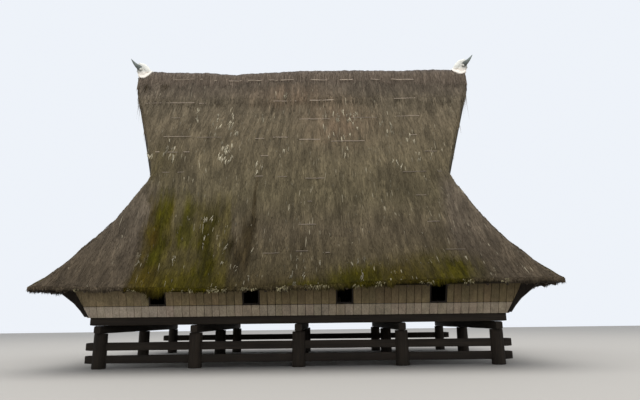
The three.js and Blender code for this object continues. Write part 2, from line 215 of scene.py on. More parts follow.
# %% Roof shape
front_low, front_high = box_corners("front_thatch")
skirt_low, _ = box_corners("left_skirt_thatch")
EAVE_Y = -float(front_low[1])
EAVE_X = -float(skirt_low[0])
EAVE_BOTTOM = float(front_low[2])
APEX_Z = float(front_high[2])
LIP = 0.1
EAVE_TOP = EAVE_BOTTOM + LIP
STRAIGHT_SHARE = 0.57
NECK_Y = 2.6
NECK_X = 5.66
HIP_BOW = 1.17
VERGE_LEAN = 0.35
CORNER_RADIUS = 0.6
DROP_EAVE = 0.36
DROP_RIDGE = 0.72
NECK_T = (EAVE_Y - NECK_Y) / EAVE_Y
SKIRT_REACH = 1.08

# How far the eave of the long side sags or lifts, as (place along it, height) pairs; the eave of an
# end runs straight from corner to corner
EAVE_SAG = np.array([
    (-8.0, 0.01), (-6.8, -0.02), (-4.9, -0.06), (-3.4, -0.1), (-2.4, -0.105), (-1.5, -0.08), (0.0, -0.06),
    (1.6, 0.0), (2.6, 0.055), (5.3, 0.09), (8.0, 0.1),
])
# Share of the way in over which the sag dies away
SAG_FADE = 0.12


def roof_height(t):
    """Height of the outer surface at share t."""
    return EAVE_TOP + (APEX_Z - EAVE_TOP) * (STRAIGHT_SHARE * t + (1 - STRAIGHT_SHARE) * t * t)


def share_at(z):
    """Share t where the roof has height z: the root of the height rule."""
    rise = np.maximum(z - EAVE_TOP, 0) / (APEX_Z - EAVE_TOP)
    bend = 1 - STRAIGHT_SHARE
    return (-STRAIGHT_SHARE + np.sqrt(STRAIGHT_SHARE**2 + 4 * bend * rise)) / (2 * bend)


def underside_height(t):
    """Height of the underside: flat at the lip, then a drop that grows towards the ridge."""
    drop = DROP_EAVE + (DROP_RIDGE - DROP_EAVE) * t
    return np.maximum(roof_height(t) - drop, EAVE_BOTTOM)


def plan_sizes(t):
    """Half length, half depth and corner radius of the roof in plan at share t."""
    s = np.clip(t / NECK_T, 0, 1)
    past = np.maximum(t / NECK_T - 1, 0)
    run = EAVE_X - NECK_X
    half_x = NECK_X + run * (1 - s) ** HIP_BOW - 0.5 * run * past
    half_y = EAVE_Y * (1 - t)
    return half_x, half_y, CORNER_RADIUS * (1 - s)


def half_length(side, t):
    """How far a face reaches to either side: to the hip below the neck, to the verge above it."""
    half_x, half_y, radius = plan_sizes(t)
    along = half_x if side == "long" else half_y
    hip = along - radius * (1 - math.sqrt(0.5))
    if side == "end":
        return hip
    verge = NECK_X + np.maximum(roof_height(t) - roof_height(NECK_T), 0) * VERGE_LEAN
    return np.where(t > NECK_T, verge, hip)


def roof_point(side, a, t):
    """Point of a face at place a along it and share t, with the face turned to look along -Y."""
    half_x, half_y, radius = plan_sizes(t)
    along, out = (half_x, half_y) if side == "long" else (half_y, half_x)
    past = np.clip(np.abs(a) - (along - radius), 0, radius)
    bend = np.sqrt(np.maximum(radius**2 - past**2, 0))
    height = roof_height(t)
    if side == "long":
        sag = np.interp(a, EAVE_SAG[:, 0], EAVE_SAG[:, 1])
    else:
        sag = np.interp(a, [-EAVE_Y, EAVE_Y], [EAVE_SAG[-1, 1], EAVE_SAG[0, 1]])
    height = height + sag * np.exp(-t / SAG_FADE)
    return np.stack([a + 0 * t, -(out - radius + bend), height], axis=-1)


print("eave:", EAVE_X, EAVE_Y, "apex:", APEX_Z, "neck at share", round(NECK_T, 3))

# %% [markdown]
# ## How the fibres lie
#
# The grid of a face has columns that run straight up in the middle and open like a fan towards the
# hips. The column number w runs from -1 to 1, and one rule turns it into a place along the face.
# The fibres lie straighter than that: they run down the slope, spread only a little outside the
# middle, and end at the hip. Wind has combed some patches sideways. A second rule gives each place
# the number of the fibre that passes through it, which is where that fibre would meet the eave.
# The relief is a sum of soft ribs that run with the fibres, slow swells, and the step where the
# ridge cover ends.

# %% Lay of the fibres
# Where the fan begins, at the eave and at the neck
FAN_START = {"long": (4.9, 5.3), "end": (1.9, 2.35)}
FAN_COLUMN = {"long": 0.62, "end": 0.45}
# Where the fibres begin to spread, and the share by which they are closer together at the neck
SPREAD_START = {"long": 4.0, "end": 1.6}
SPREAD = {"long": 0.05, "end": 0.2}
# Combed patches of the long side: place, lowest and highest height, half width, shift in metres
COMBED = [
    (-3.2, 8.2, 10.6, 1.7, -0.14), (-0.9, 8.8, 10.7, 1.3, -0.24),
    (-4.4, 5.6, 7.7, 1.5, 0.25), (-5.2, 2.2, 6.4, 2.6, 0.5),
]
RIB_HEIGHT = 0.022
SWELL_HEIGHT = 0.035
COVER_EDGE = 10.82
COVER_THICKNESS = 0.045
# Small step along a face or in t, for slopes
STEP = 0.01


def fan_start(side, t):
    """Where the fan begins at share t: it opens evenly with height from the neck down."""
    at_eave, at_neck = FAN_START[side]
    share = np.clip((roof_height(t) - EAVE_TOP) / (roof_height(NECK_T) - EAVE_TOP), 0, 1)
    return at_eave + (at_neck - at_eave) * share


def place_along(side, w, t):
    """Place along the face of column w at share t."""
    start = fan_start(side, t)
    column = FAN_COLUMN[side]
    inner = np.minimum(np.abs(w) / column, 1) * start
    fan = np.clip((np.abs(w) - column) / (1 - column), 0, 1)
    return np.sign(w) * (inner + fan * (half_length(side, t) - start))


def slope_length(t):
    """Metres up the slope from the eave to share t: the height and the run, taken as one chord."""
    return np.hypot(roof_height(t) - EAVE_TOP, EAVE_Y * t)


def slope_per_share(t):
    """Metres up the slope for a whole unit of t, from a small step on both sides of t."""
    return np.hypot((roof_height(t + STEP) - roof_height(t - STEP)) / (2 * STEP), EAVE_Y)


def eave_place(side, a, t):
    """Where the fibre through place a at share t would meet the eave."""
    start = SPREAD_START[side]
    drawn = SPREAD[side] * np.clip(slope_length(t) / slope_length(NECK_T), 0, 1)
    outer = np.maximum(np.abs(a) - start, 0) / (1 - drawn)
    line = np.sign(a) * (np.minimum(np.abs(a), start) + outer)
    if side == "long":
        for x, low, high, half, shift in COMBED:
            share = np.clip((roof_height(t) - low) / (high - low), 0, 1)
            line = line + shift * smooth_step(share) * np.exp(-((a - x) / half) ** 2)
    return line


def follow(side, a, t, new_t):
    """Place at share new_t of the fibre through a at share t: one Newton step on its number."""
    step = 2 * STEP
    slope = (eave_place(side, a + step, new_t) - eave_place(side, a - step, new_t)) / (2 * step)
    return a - (eave_place(side, a, new_t) - eave_place(side, a, t)) / slope


def cover_edge(a):
    """Height of the ragged lower edge of the ridge cover at place a."""
    return COVER_EDGE + 0.06 * two_noises(a, 0 * a, (0.45, 1), (0.12, 1), 0.5, 71)


def relief(side, a, t, seed):
    """Height of the ribs and swells over the plain surface, in metres."""
    length = slope_length(t)
    rib = two_noises(eave_place(side, a, t), length, (0.16, 1.6), (0.07, 0.7), 0.6, seed)
    swell = two_noises(a, length, (1.3, 1.1), (0.5, 0.6), 0.5, seed + 2)
    fade = np.clip(length / 0.4, 0.15, 1)
    height = (RIB_HEIGHT * rib + SWELL_HEIGHT * swell) * fade
    if side == "long":
        height = height + COVER_THICKNESS * np.clip((roof_height(t) - cover_edge(a)) / 0.06 + 0.5, 0, 1)
    return height


def face_normal(side, a, t):
    """Outward direction of a face: the cross product of a small step along it and one up it."""
    aside = roof_point(side, a + STEP, t) - roof_point(side, a - STEP, t)
    up = roof_point(side, a, t + STEP) - roof_point(side, a, t - STEP)
    return unit(np.cross(aside, up))


def thatch_point(side, a, t, seed):
    """Point of the uneven surface, and the outward direction there."""
    normal = face_normal(side, a, t)
    return roof_point(side, a, t) + normal * relief(side, a, t, seed)[..., None], normal


sample, _ = thatch_point("long", np.array([0.0]), np.array([0.5]), 3)
print("a point halfway up:", np.round(sample, 2))

# %% [markdown]
# ## The colour of old thatch
#
# Old palm fibre is brown-grey, paler where wind has bleached it and darker near the eave where it
# stays wet. Moss grows there in long streaks that run with the fibres, and a dark gully runs down
# beside them. The tint of a point starts with the plain colour at its height, and each patch is
# mixed in by a soft mask whose edge is ragged along the fibres.

# %% Thatch colours
# Plain thatch by height
THATCH_BY_HEIGHT = [
    (2.5, linear(60, 52, 35)),
    (3.1, linear(74, 66, 49)),
    (4.5, linear(84, 75, 60)),
    (6.0, linear(88, 80, 62)),
    (7.5, linear(94, 85, 67)),
    (9.5, linear(100, 90, 73)),
    (10.8, linear(97, 88, 73)),
    (11.4, linear(92, 83, 71)),
    (12.4, linear(90, 81, 71)),
]
THATCH_FAN = linear(90, 81, 70)
THATCH_FAN_LOW = linear(79, 70, 59)
THATCH_RED = linear(116, 98, 80)
THATCH_DARK = linear(56, 48, 33)
BARE_THATCH = linear(98, 89, 66)
DEEP_GULLY = linear(38, 31, 16)
GREEN_MOSS = linear(62, 59, 6)
DARK_MOSS = linear(50, 46, 4)
EAVE_MOSS = linear(58, 53, 12)
OCHRE_MOSS = linear(68, 59, 9)
BROWN_MOSS = linear(60, 51, 16)
DIRTY_MOSS = linear(68, 61, 18)
RUST = linear(76, 52, 18)
STRAW = linear(190, 180, 154)
TUFT_STRAW = linear(178, 167, 130)

# Streaks on the long side: place and height of the top, the same of the foot, half width,
# strength, colour
MOSS_STREAKS = [
    (-3.75, 6.3, -3.45, 2.4, 1.35, 0.6, DIRTY_MOSS),
    (-5.0, 6.3, -4.6, 2.4, 0.42, 0.9, BROWN_MOSS),
    (-4.98, 6.5, -4.5, 3.2, 0.24, 0.95, GREEN_MOSS),
    (-4.05, 6.4, -3.7, 3.8, 0.24, 0.85, GREEN_MOSS),
    (-3.2, 5.75, -2.85, 2.6, 0.26, 1.0, DARK_MOSS),
    (-4.4, 6.7, -4.15, 4.7, 0.14, 0.65, BARE_THATCH),
    (-5.35, 5.1, -5.2, 3.3, 0.07, 0.8, THATCH_DARK),
    (-4.87, 4.95, -4.75, 3.9, 0.12, 0.55, RUST),
    (-1.62, 7.2, -1.6, 3.0, 0.08, 1.0, THATCH_DARK),
    (-1.7, 5.6, -1.8, 3.0, 0.27, 0.9, THATCH_DARK),
    (-2.05, 4.5, -1.95, 2.6, 0.1, 0.6, THATCH_DARK),
    (0.15, 4.9, 0.1, 3.6, 0.07, 0.5, THATCH_DARK),
]
# Patches on the long side: centre along and up, half width and half height, strength, colour
PATCHES = [
    (-3.4, 2.5, 1.35, 0.65, 0.9, EAVE_MOSS),
    (-4.2, 2.7, 0.4, 0.3, 0.5, OCHRE_MOSS),
    (0.4, 2.4, 1.0, 0.3, 0.9, EAVE_MOSS),
    (2.3, 2.6, 1.5, 0.6, 1.0, EAVE_MOSS),
    (1.8, 2.6, 1.0, 0.4, 0.7, DARK_MOSS),
    (3.6, 2.9, 1.1, 0.6, 0.6, BROWN_MOSS),
    (4.7, 2.9, 1.1, 0.7, 0.8, EAVE_MOSS),
    (-5.5, 7.4, 0.8, 1.2, 0.25, DIRTY_MOSS),
    (1.6, 9.7, 1.5, 1.3, 0.45, THATCH_RED),
    (-0.6, 11.2, 2.0, 0.8, 0.4, THATCH_RED),
    (-6.96, 11.83, 0.16, 0.2, 1.0, THATCH_DARK),
    (-6.15, 11.9, 0.22, 0.16, 1.0, THATCH_DARK),
    (-5.45, 12.3, 0.12, 0.14, 0.9, THATCH_DARK),
    (-1.64, 4.45, 0.2, 0.5, 1.0, DEEP_GULLY),
    (-2.2, 3.95, 0.13, 0.4, 0.9, DEEP_GULLY),
    (-1.87, 3.5, 0.13, 0.35, 0.9, DEEP_GULLY),
]
# The fan's own colour ends at a height and fades over some metres below it, and its edge is soft
FAN_TOP = 7.2
FAN_FADE = 0.8
FAN_EDGE = 0.4
# Moss and mottling give way to plain thatch over this stretch of height
MOSS_TOP = 6.8
MOSS_FADE = 1.0


def mix(base, other, amount):
    """Blend of two colours by an amount for each point."""
    return base + (other - base) * np.clip(amount, 0, 1)[..., None]


def plain_thatch(z):
    """Colour of plain thatch at height z, between the entries of the table."""
    heights = [height for height, _ in THATCH_BY_HEIGHT]
    colours = np.array([colour for _, colour in THATCH_BY_HEIGHT])
    return np.stack([np.interp(z, heights, colours[:, channel]) for channel in range(3)], axis=-1)


def moss_and_stains(a, z, line, ragged, streak, seed):
    """Amount and colour of every patch and streak of the long side, and the mottling of its moss."""
    layers = []
    for x, height, half_x, half_z, strength, colour in PATCHES:
        amount = 1.25 * blob(a, z, x, height, half_x, half_z) - 0.15
        layers.append((strength * amount * (1 + 0.8 * ragged), colour))
    for x_top, top, x_foot, foot, half, strength, colour in MOSS_STREAKS:
        centre = x_foot + (x_top - x_foot) * (z - foot) / (top - foot)
        centre = centre + 0.06 * soft_noise(z / 0.55, x_foot + 0 * z, seed + 40)
        across = np.clip((half - np.abs(a - centre)) / min(half, 0.2) + 0.5 + 0.9 * ragged, 0, 1)
        along = np.clip((top - z) / 0.9 + 0.3 * ragged, 0, 1) * np.clip((z - foot) / 0.3 + 0.3, 0, 1)
        layers.append((strength * across * along * (0.85 + 0.3 * streak), colour))
    mossy = np.clip(np.max([amount for amount, _ in layers], axis=0), 0, 1)
    mossy = mossy * np.clip((MOSS_TOP - z) / MOSS_FADE, 0, 1)
    return layers, mossy * two_noises(line, z, (0.13, 0.36), (0.06, 0.2), 0.6, seed + 31)


def thatch_tint(side, points, seed):
    """Colour of the thatch at points of a face that looks along -Y."""
    a = points[..., 0]
    z = points[..., 2]
    t = share_at(z)
    line = eave_place(side, a, t)
    fan = np.clip((np.abs(a) - fan_start(side, t)) / FAN_EDGE + 0.5, 0, 1)
    fan = fan * np.clip((FAN_TOP - z) / FAN_FADE, 0, 1)
    tint = mix(plain_thatch(z), mix(THATCH_FAN_LOW, THATCH_FAN, (z - 3.2) / 2.3), 0.85 * fan)
    streak = 0.35 * soft_noise(line / 0.24, z / 1.0, seed) + 0.6 * soft_noise(line / 0.09, z / 0.45, seed + 5)
    ragged = 0.75 * streak + 0.35 * soft_noise(line / 0.45, z / 0.5, seed + 8)
    if side == "long":
        layers, mottle = moss_and_stains(a, z, line, ragged, streak, seed)
        for amount, colour in layers:
            tint = mix(tint, colour, amount)
        tint = tint * (1 + 0.38 * mottle)[..., None]
        # Painted shadow: a dark band just below the step at the lower edge of the ridge cover
        painted_cover_shadow = np.clip(1 - np.abs(z - cover_edge(a) + 0.07) / 0.07, 0, 1)
        tint = mix(tint, THATCH_DARK, 0.55 * painted_cover_shadow)
    else:
        patchy = soft_noise(a / 1.1, z / 0.9, seed + 7) + 0.5 * ragged
        tint = mix(tint, GREEN_MOSS, (patchy - 0.25) * np.clip((4.4 - z) / 1.6, 0, 1))
    shade = 1 + 0.24 * streak + 0.15 * soft_noise(a / 0.9, z / 0.7, seed + 9)
    return tint * shade[..., None]


print("thatch colours at", len(THATCH_BY_HEIGHT), "heights")

# %% [markdown]
# ## Thatch material
#
# The tint of each point sets the colour. Noise that is stretched along the fibres breaks it into
# fine streaks, and the same noise drives the bump. The noise reads the lay coordinates, so the
# streaks follow the fan at the hips. Old fibre is matt, so the roughness is high.


# %% Material helpers
def start_material(name, roughness, shine=0.25):
    """A material with a Principled shader of a given roughness and strength of reflection."""
    material = bpy.data.materials.new(name)
    material.use_nodes = True
    tree = material.node_tree
    shader = tree.nodes["Principled BSDF"]
    shader.inputs["Roughness"].default_value = roughness
    shader.inputs["Specular IOR Level"].default_value = shine
    return material, tree, shader


def add_node(tree, kind, feeds=(), **values):
    """A node with its properties or input values set by name, a space being written as _.

    The feeds map an input of the node to the output that goes into it.
    """
    node = tree.nodes.new(kind)
    for key, value in values.items():
        if hasattr(node, key):
            setattr(node, key, value)
        else:
            node.inputs[key.replace("_", " ").title()].default_value = value
    for label, output in dict(feeds).items():
        tree.links.new(output, node.inputs[label])
    return node


def tint_of(tree):
    """The tint of each point."""
    return add_node(tree, "ShaderNodeAttribute", attribute_name="tint").outputs["Color"]


def object_place(tree):
    """The place on the object, in metres."""
    return add_node(tree, "ShaderNodeTexCoord").outputs["Object"]


def stretched_noise(tree, source, stretch, detail, shift=0.0):
    """Noise on coordinates stretched by three numbers: a large number makes fine detail that way."""
    mapping = add_node(tree, "ShaderNodeMapping", {"Vector": source}, scale=stretch)
    mapping.inputs["Location"].default_value = (shift, 0.7 * shift, 0)
    feeds = {"Vector": mapping.outputs["Vector"]}
    noise = add_node(tree, "ShaderNodeTexNoise", feeds, scale=1.0, detail=detail, roughness=0.6)
    return noise.outputs["Fac"]


def to_range(tree, source, low, high):
    """Carries the middle half of a factor of 0 to 1 over to the range from low to high."""
    limits = {"from_min": 0.25, "from_max": 0.75, "to_min": low, "to_max": high}
    return add_node(tree, "ShaderNodeMapRange", {"Value": source}, **limits).outputs["Result"]


def dim_by_noise(tree, shader, colour, source, layers):
    """Sets the base colour, dimmed by layers of stretched noise, and returns the first noise.

    A layer is (stretch, detail, shift, lowest factor, highest factor).
    """
    noises = [stretched_noise(tree, source, *layer[:3]) for layer in layers]
    for noise, layer in zip(noises, layers):
        factor = to_range(tree, noise, *layer[3:])
        colour = add_node(
            tree, "ShaderNodeVectorMath", {0: colour, "Scale": factor}, operation="SCALE",
        ).outputs["Vector"]
    tree.links.new(colour, shader.inputs["Base Color"])
    return noises[0]


def add_bump(tree, shader, height, strength, distance):
    """Bump from a height, in metres of relief."""
    bump = add_node(tree, "ShaderNodeBump", {"Height": height}, strength=strength, distance=distance)
    tree.links.new(bump.outputs["Normal"], shader.inputs["Normal"])


# %% Fibre material
def fibre_material(name, across, along, contrast, bump_distance):
    """Matt fibres: tint times streaks at two scales, with a bump of the finer streaks."""
    material, tree, shader = start_material(name, 0.95, 0.1)
    lay = add_node(tree, "ShaderNodeUVMap", uv_map="lay").outputs["UV"]
    fine = dim_by_noise(tree, shader, tint_of(tree), lay, [
        ((across, along, 1), 3.0, 0.0, 1 - contrast, 1 + contrast),
        ((across / 5, along / 3, 1), 2.0, 3.1, 1 - 0.5 * contrast, 1 + 0.5 * contrast),
    ])
    add_bump(tree, shader, fine, 0.8, bump_distance)
    return material


thatch_base_material = fibre_material("thatch_base", 45.0, 4.5, 0.5, 0.02)
fibre_strand_material = fibre_material("thatch_fibres", 90.0, 3.0, 0.25, 0.006)
print("materials:", len(bpy.data.materials))

# %% [markdown]
# ## The four thatched faces
#
# Each face is a closed shell: an uneven outer surface, a plain underside, and rims at the eave, the
# ridge and the hips or verges. Both surfaces are the same grid of w and t, so the faces between
# them are worked out from the grid's numbering alone.


# %% Thatch shells
def closed_shell(outer, inner):
    """Points and face arrays of a closed shell between two equal grids of points (rows, columns, 3)."""
    above = np.arange(outer[..., 0].size).reshape(outer.shape[:2])
    below = above + above.size

    def patch(a, b, c, d):
        """Quads from four arrays of corner numbers."""
        return np.stack([a.ravel(), b.ravel(), c.ravel(), d.ravel()], axis=1)

    faces = np.concatenate([
        patch(above[:-1, :-1], above[:-1, 1:], above[1:, 1:], above[1:, :-1]),
        patch(below[:-1, 1:], below[:-1, :-1], below[1:, :-1], below[1:, 1:]),
        patch(above[:-1, 0], above[1:, 0], below[1:, 0], below[:-1, 0]),
        patch(above[1:, -1], above[:-1, -1], below[:-1, -1], below[1:, -1]),
        patch(above[0, 1:], above[0, :-1], below[0, :-1], below[0, 1:]),
        patch(above[-1, :-1], above[-1, 1:], below[-1, 1:], below[-1, :-1]),
    ])
    return np.concatenate([outer.reshape(-1, 3), inner.reshape(-1, 3)]), [faces]


# Each side of the roof: its kind of face, how many right angles it is turned by, and its seed
FACES = {"front": ("long", 0, 11), "back": ("long", 2, 23), "left": ("end", 3, 37), "right": ("end", 1, 41)}
# The highest share that each kind of face reaches, and the rows and columns of its grid
GRIDS = {"long": (1.0, 90, 130), "end": (NECK_T * SKIRT_REACH, 50, 96)}
UNDERSIDE_SHADE = 0.3


def thatch_shell(name, side, quarters, seed):
    """One face of the roof as a closed shell."""
    top_share, rows, columns = GRIDS[side]
    w, t = np.meshgrid(np.linspace(-1, 1, columns), np.linspace(0, top_share, rows))
    a = place_along(side, w, t)
    outer, _ = thatch_point(side, a, t, seed)
    inner = roof_point(side, a, t)
    inner[..., 2] = np.minimum(inner[..., 2] - roof_height(t) + underside_height(t), outer[..., 2] - 0.05)
    tint = thatch_tint(side, outer, seed).reshape(-1, 3)
    lay = np.stack([w * half_length(side, 0 * t), slope_length(t)], axis=-1).reshape(-1, 2)
    tints = np.concatenate([tint, UNDERSIDE_SHADE * tint])
    return put_mesh(name, *closed_shell(outer, inner), tints, np.concatenate([lay, lay]), quarters=quarters)


for face, (side, quarters, seed) in FACES.items():
    node = f"{face}_thatch" if side == "long" else f"{face}_skirt_thatch"
    place(thatch_shell(f"{face}_thatch_bed", side, quarters, seed), thatch_base_material, "thatch", node)

# %% [markdown]
# ## Loose ends of fibre
#
# A thatched face looks soft because thousands of fibre ends lie on it. Each is a sliver: a pyramid
# with three corners at its root and its point further down the slope, so it costs four triangles
# and is closed. Random places are drawn so that every square metre gets as many, and a seed keeps
# them the same in each run.

# %% Slivers
SLIVER_FACES = np.array([[0, 2, 1], [0, 3, 2], [1, 2, 3], [0, 1, 3]])
# How deep a sliver's root sits, as a share of its height
SUNK = 0.6


def sliver_piece(
    name, quarters, root, tip, normal, width, height, tint, lay, slot="thatch", tip_shade=1.0,
):
    """Slivers from root to tip on a surface with this normal, as one piece, with a tint for each.

    The lay is (n, 2), or (n, 4, 2) where the corners of a sliver differ.
    """
    wide = unit(np.cross(normal, unit(tip - root))) * (width / 2)[:, None]
    sunk = normal * (SUNK * height)[:, None]
    crown = normal * height[:, None]
    points = np.stack([root - wide - sunk, root + wide - sunk, root + crown, tip], axis=1)
    first = 4 * np.arange(len(root))[:, None]
    faces = np.concatenate([first + corners for corners in SLIVER_FACES])
    tints = np.repeat(tint, 4, axis=0)
    tints[3::4] *= tip_shade
    lays = np.broadcast_to(lay if lay.ndim == 3 else lay[:, None], (len(root), 4, 2)).reshape(-1, 2)
    piece = put_mesh(name, points, [faces], tints, lays, smooth=False, quarters=quarters)
    return place(piece, fibre_strand_material, slot)


def fibre_places(side, count, rng):
    """Random columns and shares with an even number on each square metre."""
    w = rng.uniform(-1, 1, 4 * count)
    t = rng.uniform(0.0, GRIDS[side][0], 4 * count)
    stretch = (place_along(side, w + STEP, t) - place_along(side, w - STEP, t)) / (2 * STEP)
    area = np.abs(stretch) * slope_per_share(t)
    kept = rng.uniform(0, np.max(area), len(w)) < area
    return w[kept][:count], t[kept][:count]


# Share of the slivers that are short and wide dabs, and share that are pale
DAB_SHARE = 0.4
PALE_SHARE = 0.01
# Least and most length and width of a dab and of any other sliver, and height of both
DAB_LENGTH = (0.15, 0.4)
DAB_WIDTH = (0.05, 0.1)
STRAND_LENGTH = (0.25, 0.7)
STRAND_WIDTH = (0.022, 0.055)
STRAND_HEIGHT = (0.005, 0.012)
# How far a root and a tip stand off the surface
ROOT_LIFT = 0.006
TIP_LIFT = (0.002, 0.03)
FIBRE_COUNTS = {"front": 46000, "back": 40000, "left": 13000, "right": 13000}


def fibre_layer(name, side, quarters, seed, count):
    """Thousands of slivers over one face."""
    rng = np.random.default_rng(seed)
    w, t = fibre_places(side, count, rng)
    count = len(w)
    dab = rng.random(count) < DAB_SHARE
    length = np.where(dab, rng.uniform(*DAB_LENGTH, count), rng.uniform(*STRAND_LENGTH, count))
    length = length * (0.65 + 0.35 * np.clip((roof_height(t) - EAVE_TOP) / 3.0, 0, 1))
    tip_t = np.maximum(t - length / slope_per_share(t), -0.004)
    root_a = place_along(side, w, t)
    stray = rng.normal(0, 0.05, count) * length
    limit = half_length(side, np.clip(tip_t, 0, 1)) + 0.03 * rng.random(count)
    tip_a = np.clip(follow(side, root_a, t, tip_t) + stray, -limit, limit)
    root, normal = thatch_point(side, root_a, t, seed)
    tip, tip_normal = thatch_point(side, tip_a, np.maximum(tip_t, 0), seed)
    root = root + ROOT_LIFT * normal
    tip = tip + tip_normal * rng.uniform(*TIP_LIFT, count)[:, None]
    width = np.where(dab, rng.uniform(*DAB_WIDTH, count), rng.uniform(*STRAND_WIDTH, count))
    height = rng.uniform(*STRAND_HEIGHT, count)
    clump = two_noises(eave_place(side, root_a, t), root[:, 2], (0.12, 0.5), (0.06, 0.25), 0.6, seed + 20)
    tint = thatch_tint(side, root, seed) * np.exp(0.28 * clump + rng.normal(0, 0.08, count))[:, None]
    pale = rng.random(count) < PALE_SHARE
    tint[pale] = 0.55 * tint[pale] + 0.45 * STRAW * rng.uniform(0.5, 1.0, (int(pale.sum()), 1))
    lay = np.stack([8 * w + rng.random(count), slope_length(t)], axis=1)[:, None] + np.zeros((4, 2))
    lay[:, 3, 1] -= length
    lay[:, :2, 0] += np.array([-0.02, 0.02])
    return sliver_piece(name, quarters, root, tip, normal, width, height, tint, lay, tip_shade=1.08)


for face, (side, quarters, seed) in FACES.items():
    fibre_layer(f"{face}_thatch_fibres", side, quarters, seed, FIBRE_COUNTS[face])

# %% [markdown]
# ## Fringes and stray strands
#
# Fibre ends hang over the eave, and stray ones over the leaning verges. They are slivers again, with
# roots on the edge and tips that hang down. Along the eave the wind has left pale tufts in bunches.

# %% Fringes
HIGHEST_SHARE = 0.985
FRINGE_COUNTS = {"long": 8000, "end": 4200}
# How many slivers hang from the verges and from the edge of the ridge cover of a long side
VERGE_COUNT = 2600
COVER_COUNT = 1800
# Least and most reach and width of a sliver at the eave, on a verge and at the cover's edge
EAVE_REACH = (0.05, 0.14)
EAVE_WIDTH = (0.015, 0.04)
VERGE_REACH = (0.1, 0.36)
VERGE_WIDTH = (0.012, 0.03)
COVER_REACH = (0.08, 0.26)
COVER_WIDTH = (0.02, 0.045)
# The straws, battens and cover fringes of both long sides lie on the relief with this seed
LONG_SEED = 11
# Pale tufts on the front eave: place and half width
FRONT_TUFTS = [
    (-4.86, 0.12), (-3.65, 0.1), (-3.2, 0.16), (-2.35, 0.3), (-1.4, 0.25), (-0.36, 0.22), (0.45, 0.15),
    (0.8, 0.2), (1.85, 0.12), (2.5, 0.14), (3.9, 0.2), (5.1, 0.15), (-6.5, 0.08), (6.2, 0.1),
]


def tuft_mask(side, quarters, a, seed):
    """True where pale tufts hang: at given places on the front, by noise on the other sides."""
    if side == "long" and quarters == 0:
        centres = np.array(FRONT_TUFTS)
        return np.any(np.abs(a[:, None] - centres[None, :, 0]) < centres[None, :, 1], axis=1)
    return soft_noise(a / 0.45, 0 * a + 4.5, seed) > 0.42


# A clump that hangs over the first window: place, half width, longest reach, share of the slivers
HANGING = (-4.2, 0.12, 0.24, 0.035)
# The lip takes the colour of the slope this far above it, made lighter by painted light since the sideways
# lip gets less light than the slope; its tips are darkened by painted shade
LIP_SOURCE = 0.35
LIP_PAINTED_LIGHT = 1.75
TIP_SHADE = 0.42
TUFT_SHARE = 0.14
# Share of the hanging slivers on a verge that are extra long
LONG_STRANDS = 0.08
# Height of a sliver at the eave or on a verge, and at the cover's edge
HANGING_HEIGHT = 0.008
COVER_HEIGHT = 0.012


def edge_fringe(name, side, quarters, count, seed):
    """Slivers with roots on the lip of the eave and tips that hang below it."""
    rng = np.random.default_rng(seed)
    t = rng.uniform(0.0, 0.004, count)
    a = rng.uniform(-1, 1, count) * half_length(side, 0 * t)
    hanging = (rng.random(count) < HANGING[3]) & (side == "long") & (quarters == 0)
    a = np.where(hanging, rng.normal(HANGING[0], HANGING[1], count), a)
    root, normal = thatch_point(side, a, t, seed)
    root[:, 2] -= rng.uniform(-0.01, 0.07, count)
    bunch = soft_noise(a / 0.35, 0 * a, seed + 3) + 0.6 * soft_noise(a / 0.11, 0 * a, seed + 4)
    reach = rng.uniform(*EAVE_REACH, count) * np.clip(0.8 + 0.6 * bunch, 0.3, 1.6)
    reach = reach + hanging * rng.uniform(0.0, HANGING[2], count)
    sway = rng.normal(0, 0.3, count)
    drop = np.stack([sway * reach, 0.1 * reach * rng.normal(0, 1, count), -reach], axis=1)
    outward = unit(normal * np.array([1.0, 1.0, 0.0]))
    pale = tuft_mask(side, quarters, a, seed) & (rng.random(count) < TUFT_SHARE)
    root = root + outward * (rng.uniform(-0.01, 0.025, count) + 0.02 * pale + 0.03 * hanging)[:, None]
    root[:, 2] -= pale * rng.uniform(0.0, 0.06, count)
    drop = drop * np.where(pale, rng.uniform(0.4, 0.9, count), 1.0)[:, None]
    drop[:, 0] += pale * rng.normal(0, 0.03, count)
    width = rng.uniform(*EAVE_WIDTH, count) * (1 + 0.3 * pale)
    clump = soft_noise(a / 0.12, 0 * a, seed + 21)
    slope_point = roof_point(side, a, share_at(EAVE_TOP + LIP_SOURCE) + 0 * t)
    tint = thatch_tint(side, slope_point, seed) * np.exp(0.3 * clump + rng.normal(-0.1, 0.25, count))[:, None]
    # Painted light lifts the lip, less on the hanging clump, and painted shade darkens the tips
    tint = tint * (LIP_PAINTED_LIGHT - 0.5 * hanging)[:, None]
    tint[pale] = TUFT_STRAW * rng.uniform(0.25, 0.75, (int(pale.sum()), 1))
    tip_shade = np.where(pale, 0.8, TIP_SHADE)[:, None]
    shape = (root, root + drop, outward, width, np.full(count, HANGING_HEIGHT))
    return sliver_piece(name, quarters, *shape, tint, np.stack([a, t], axis=1), tip_shade=tip_shade)


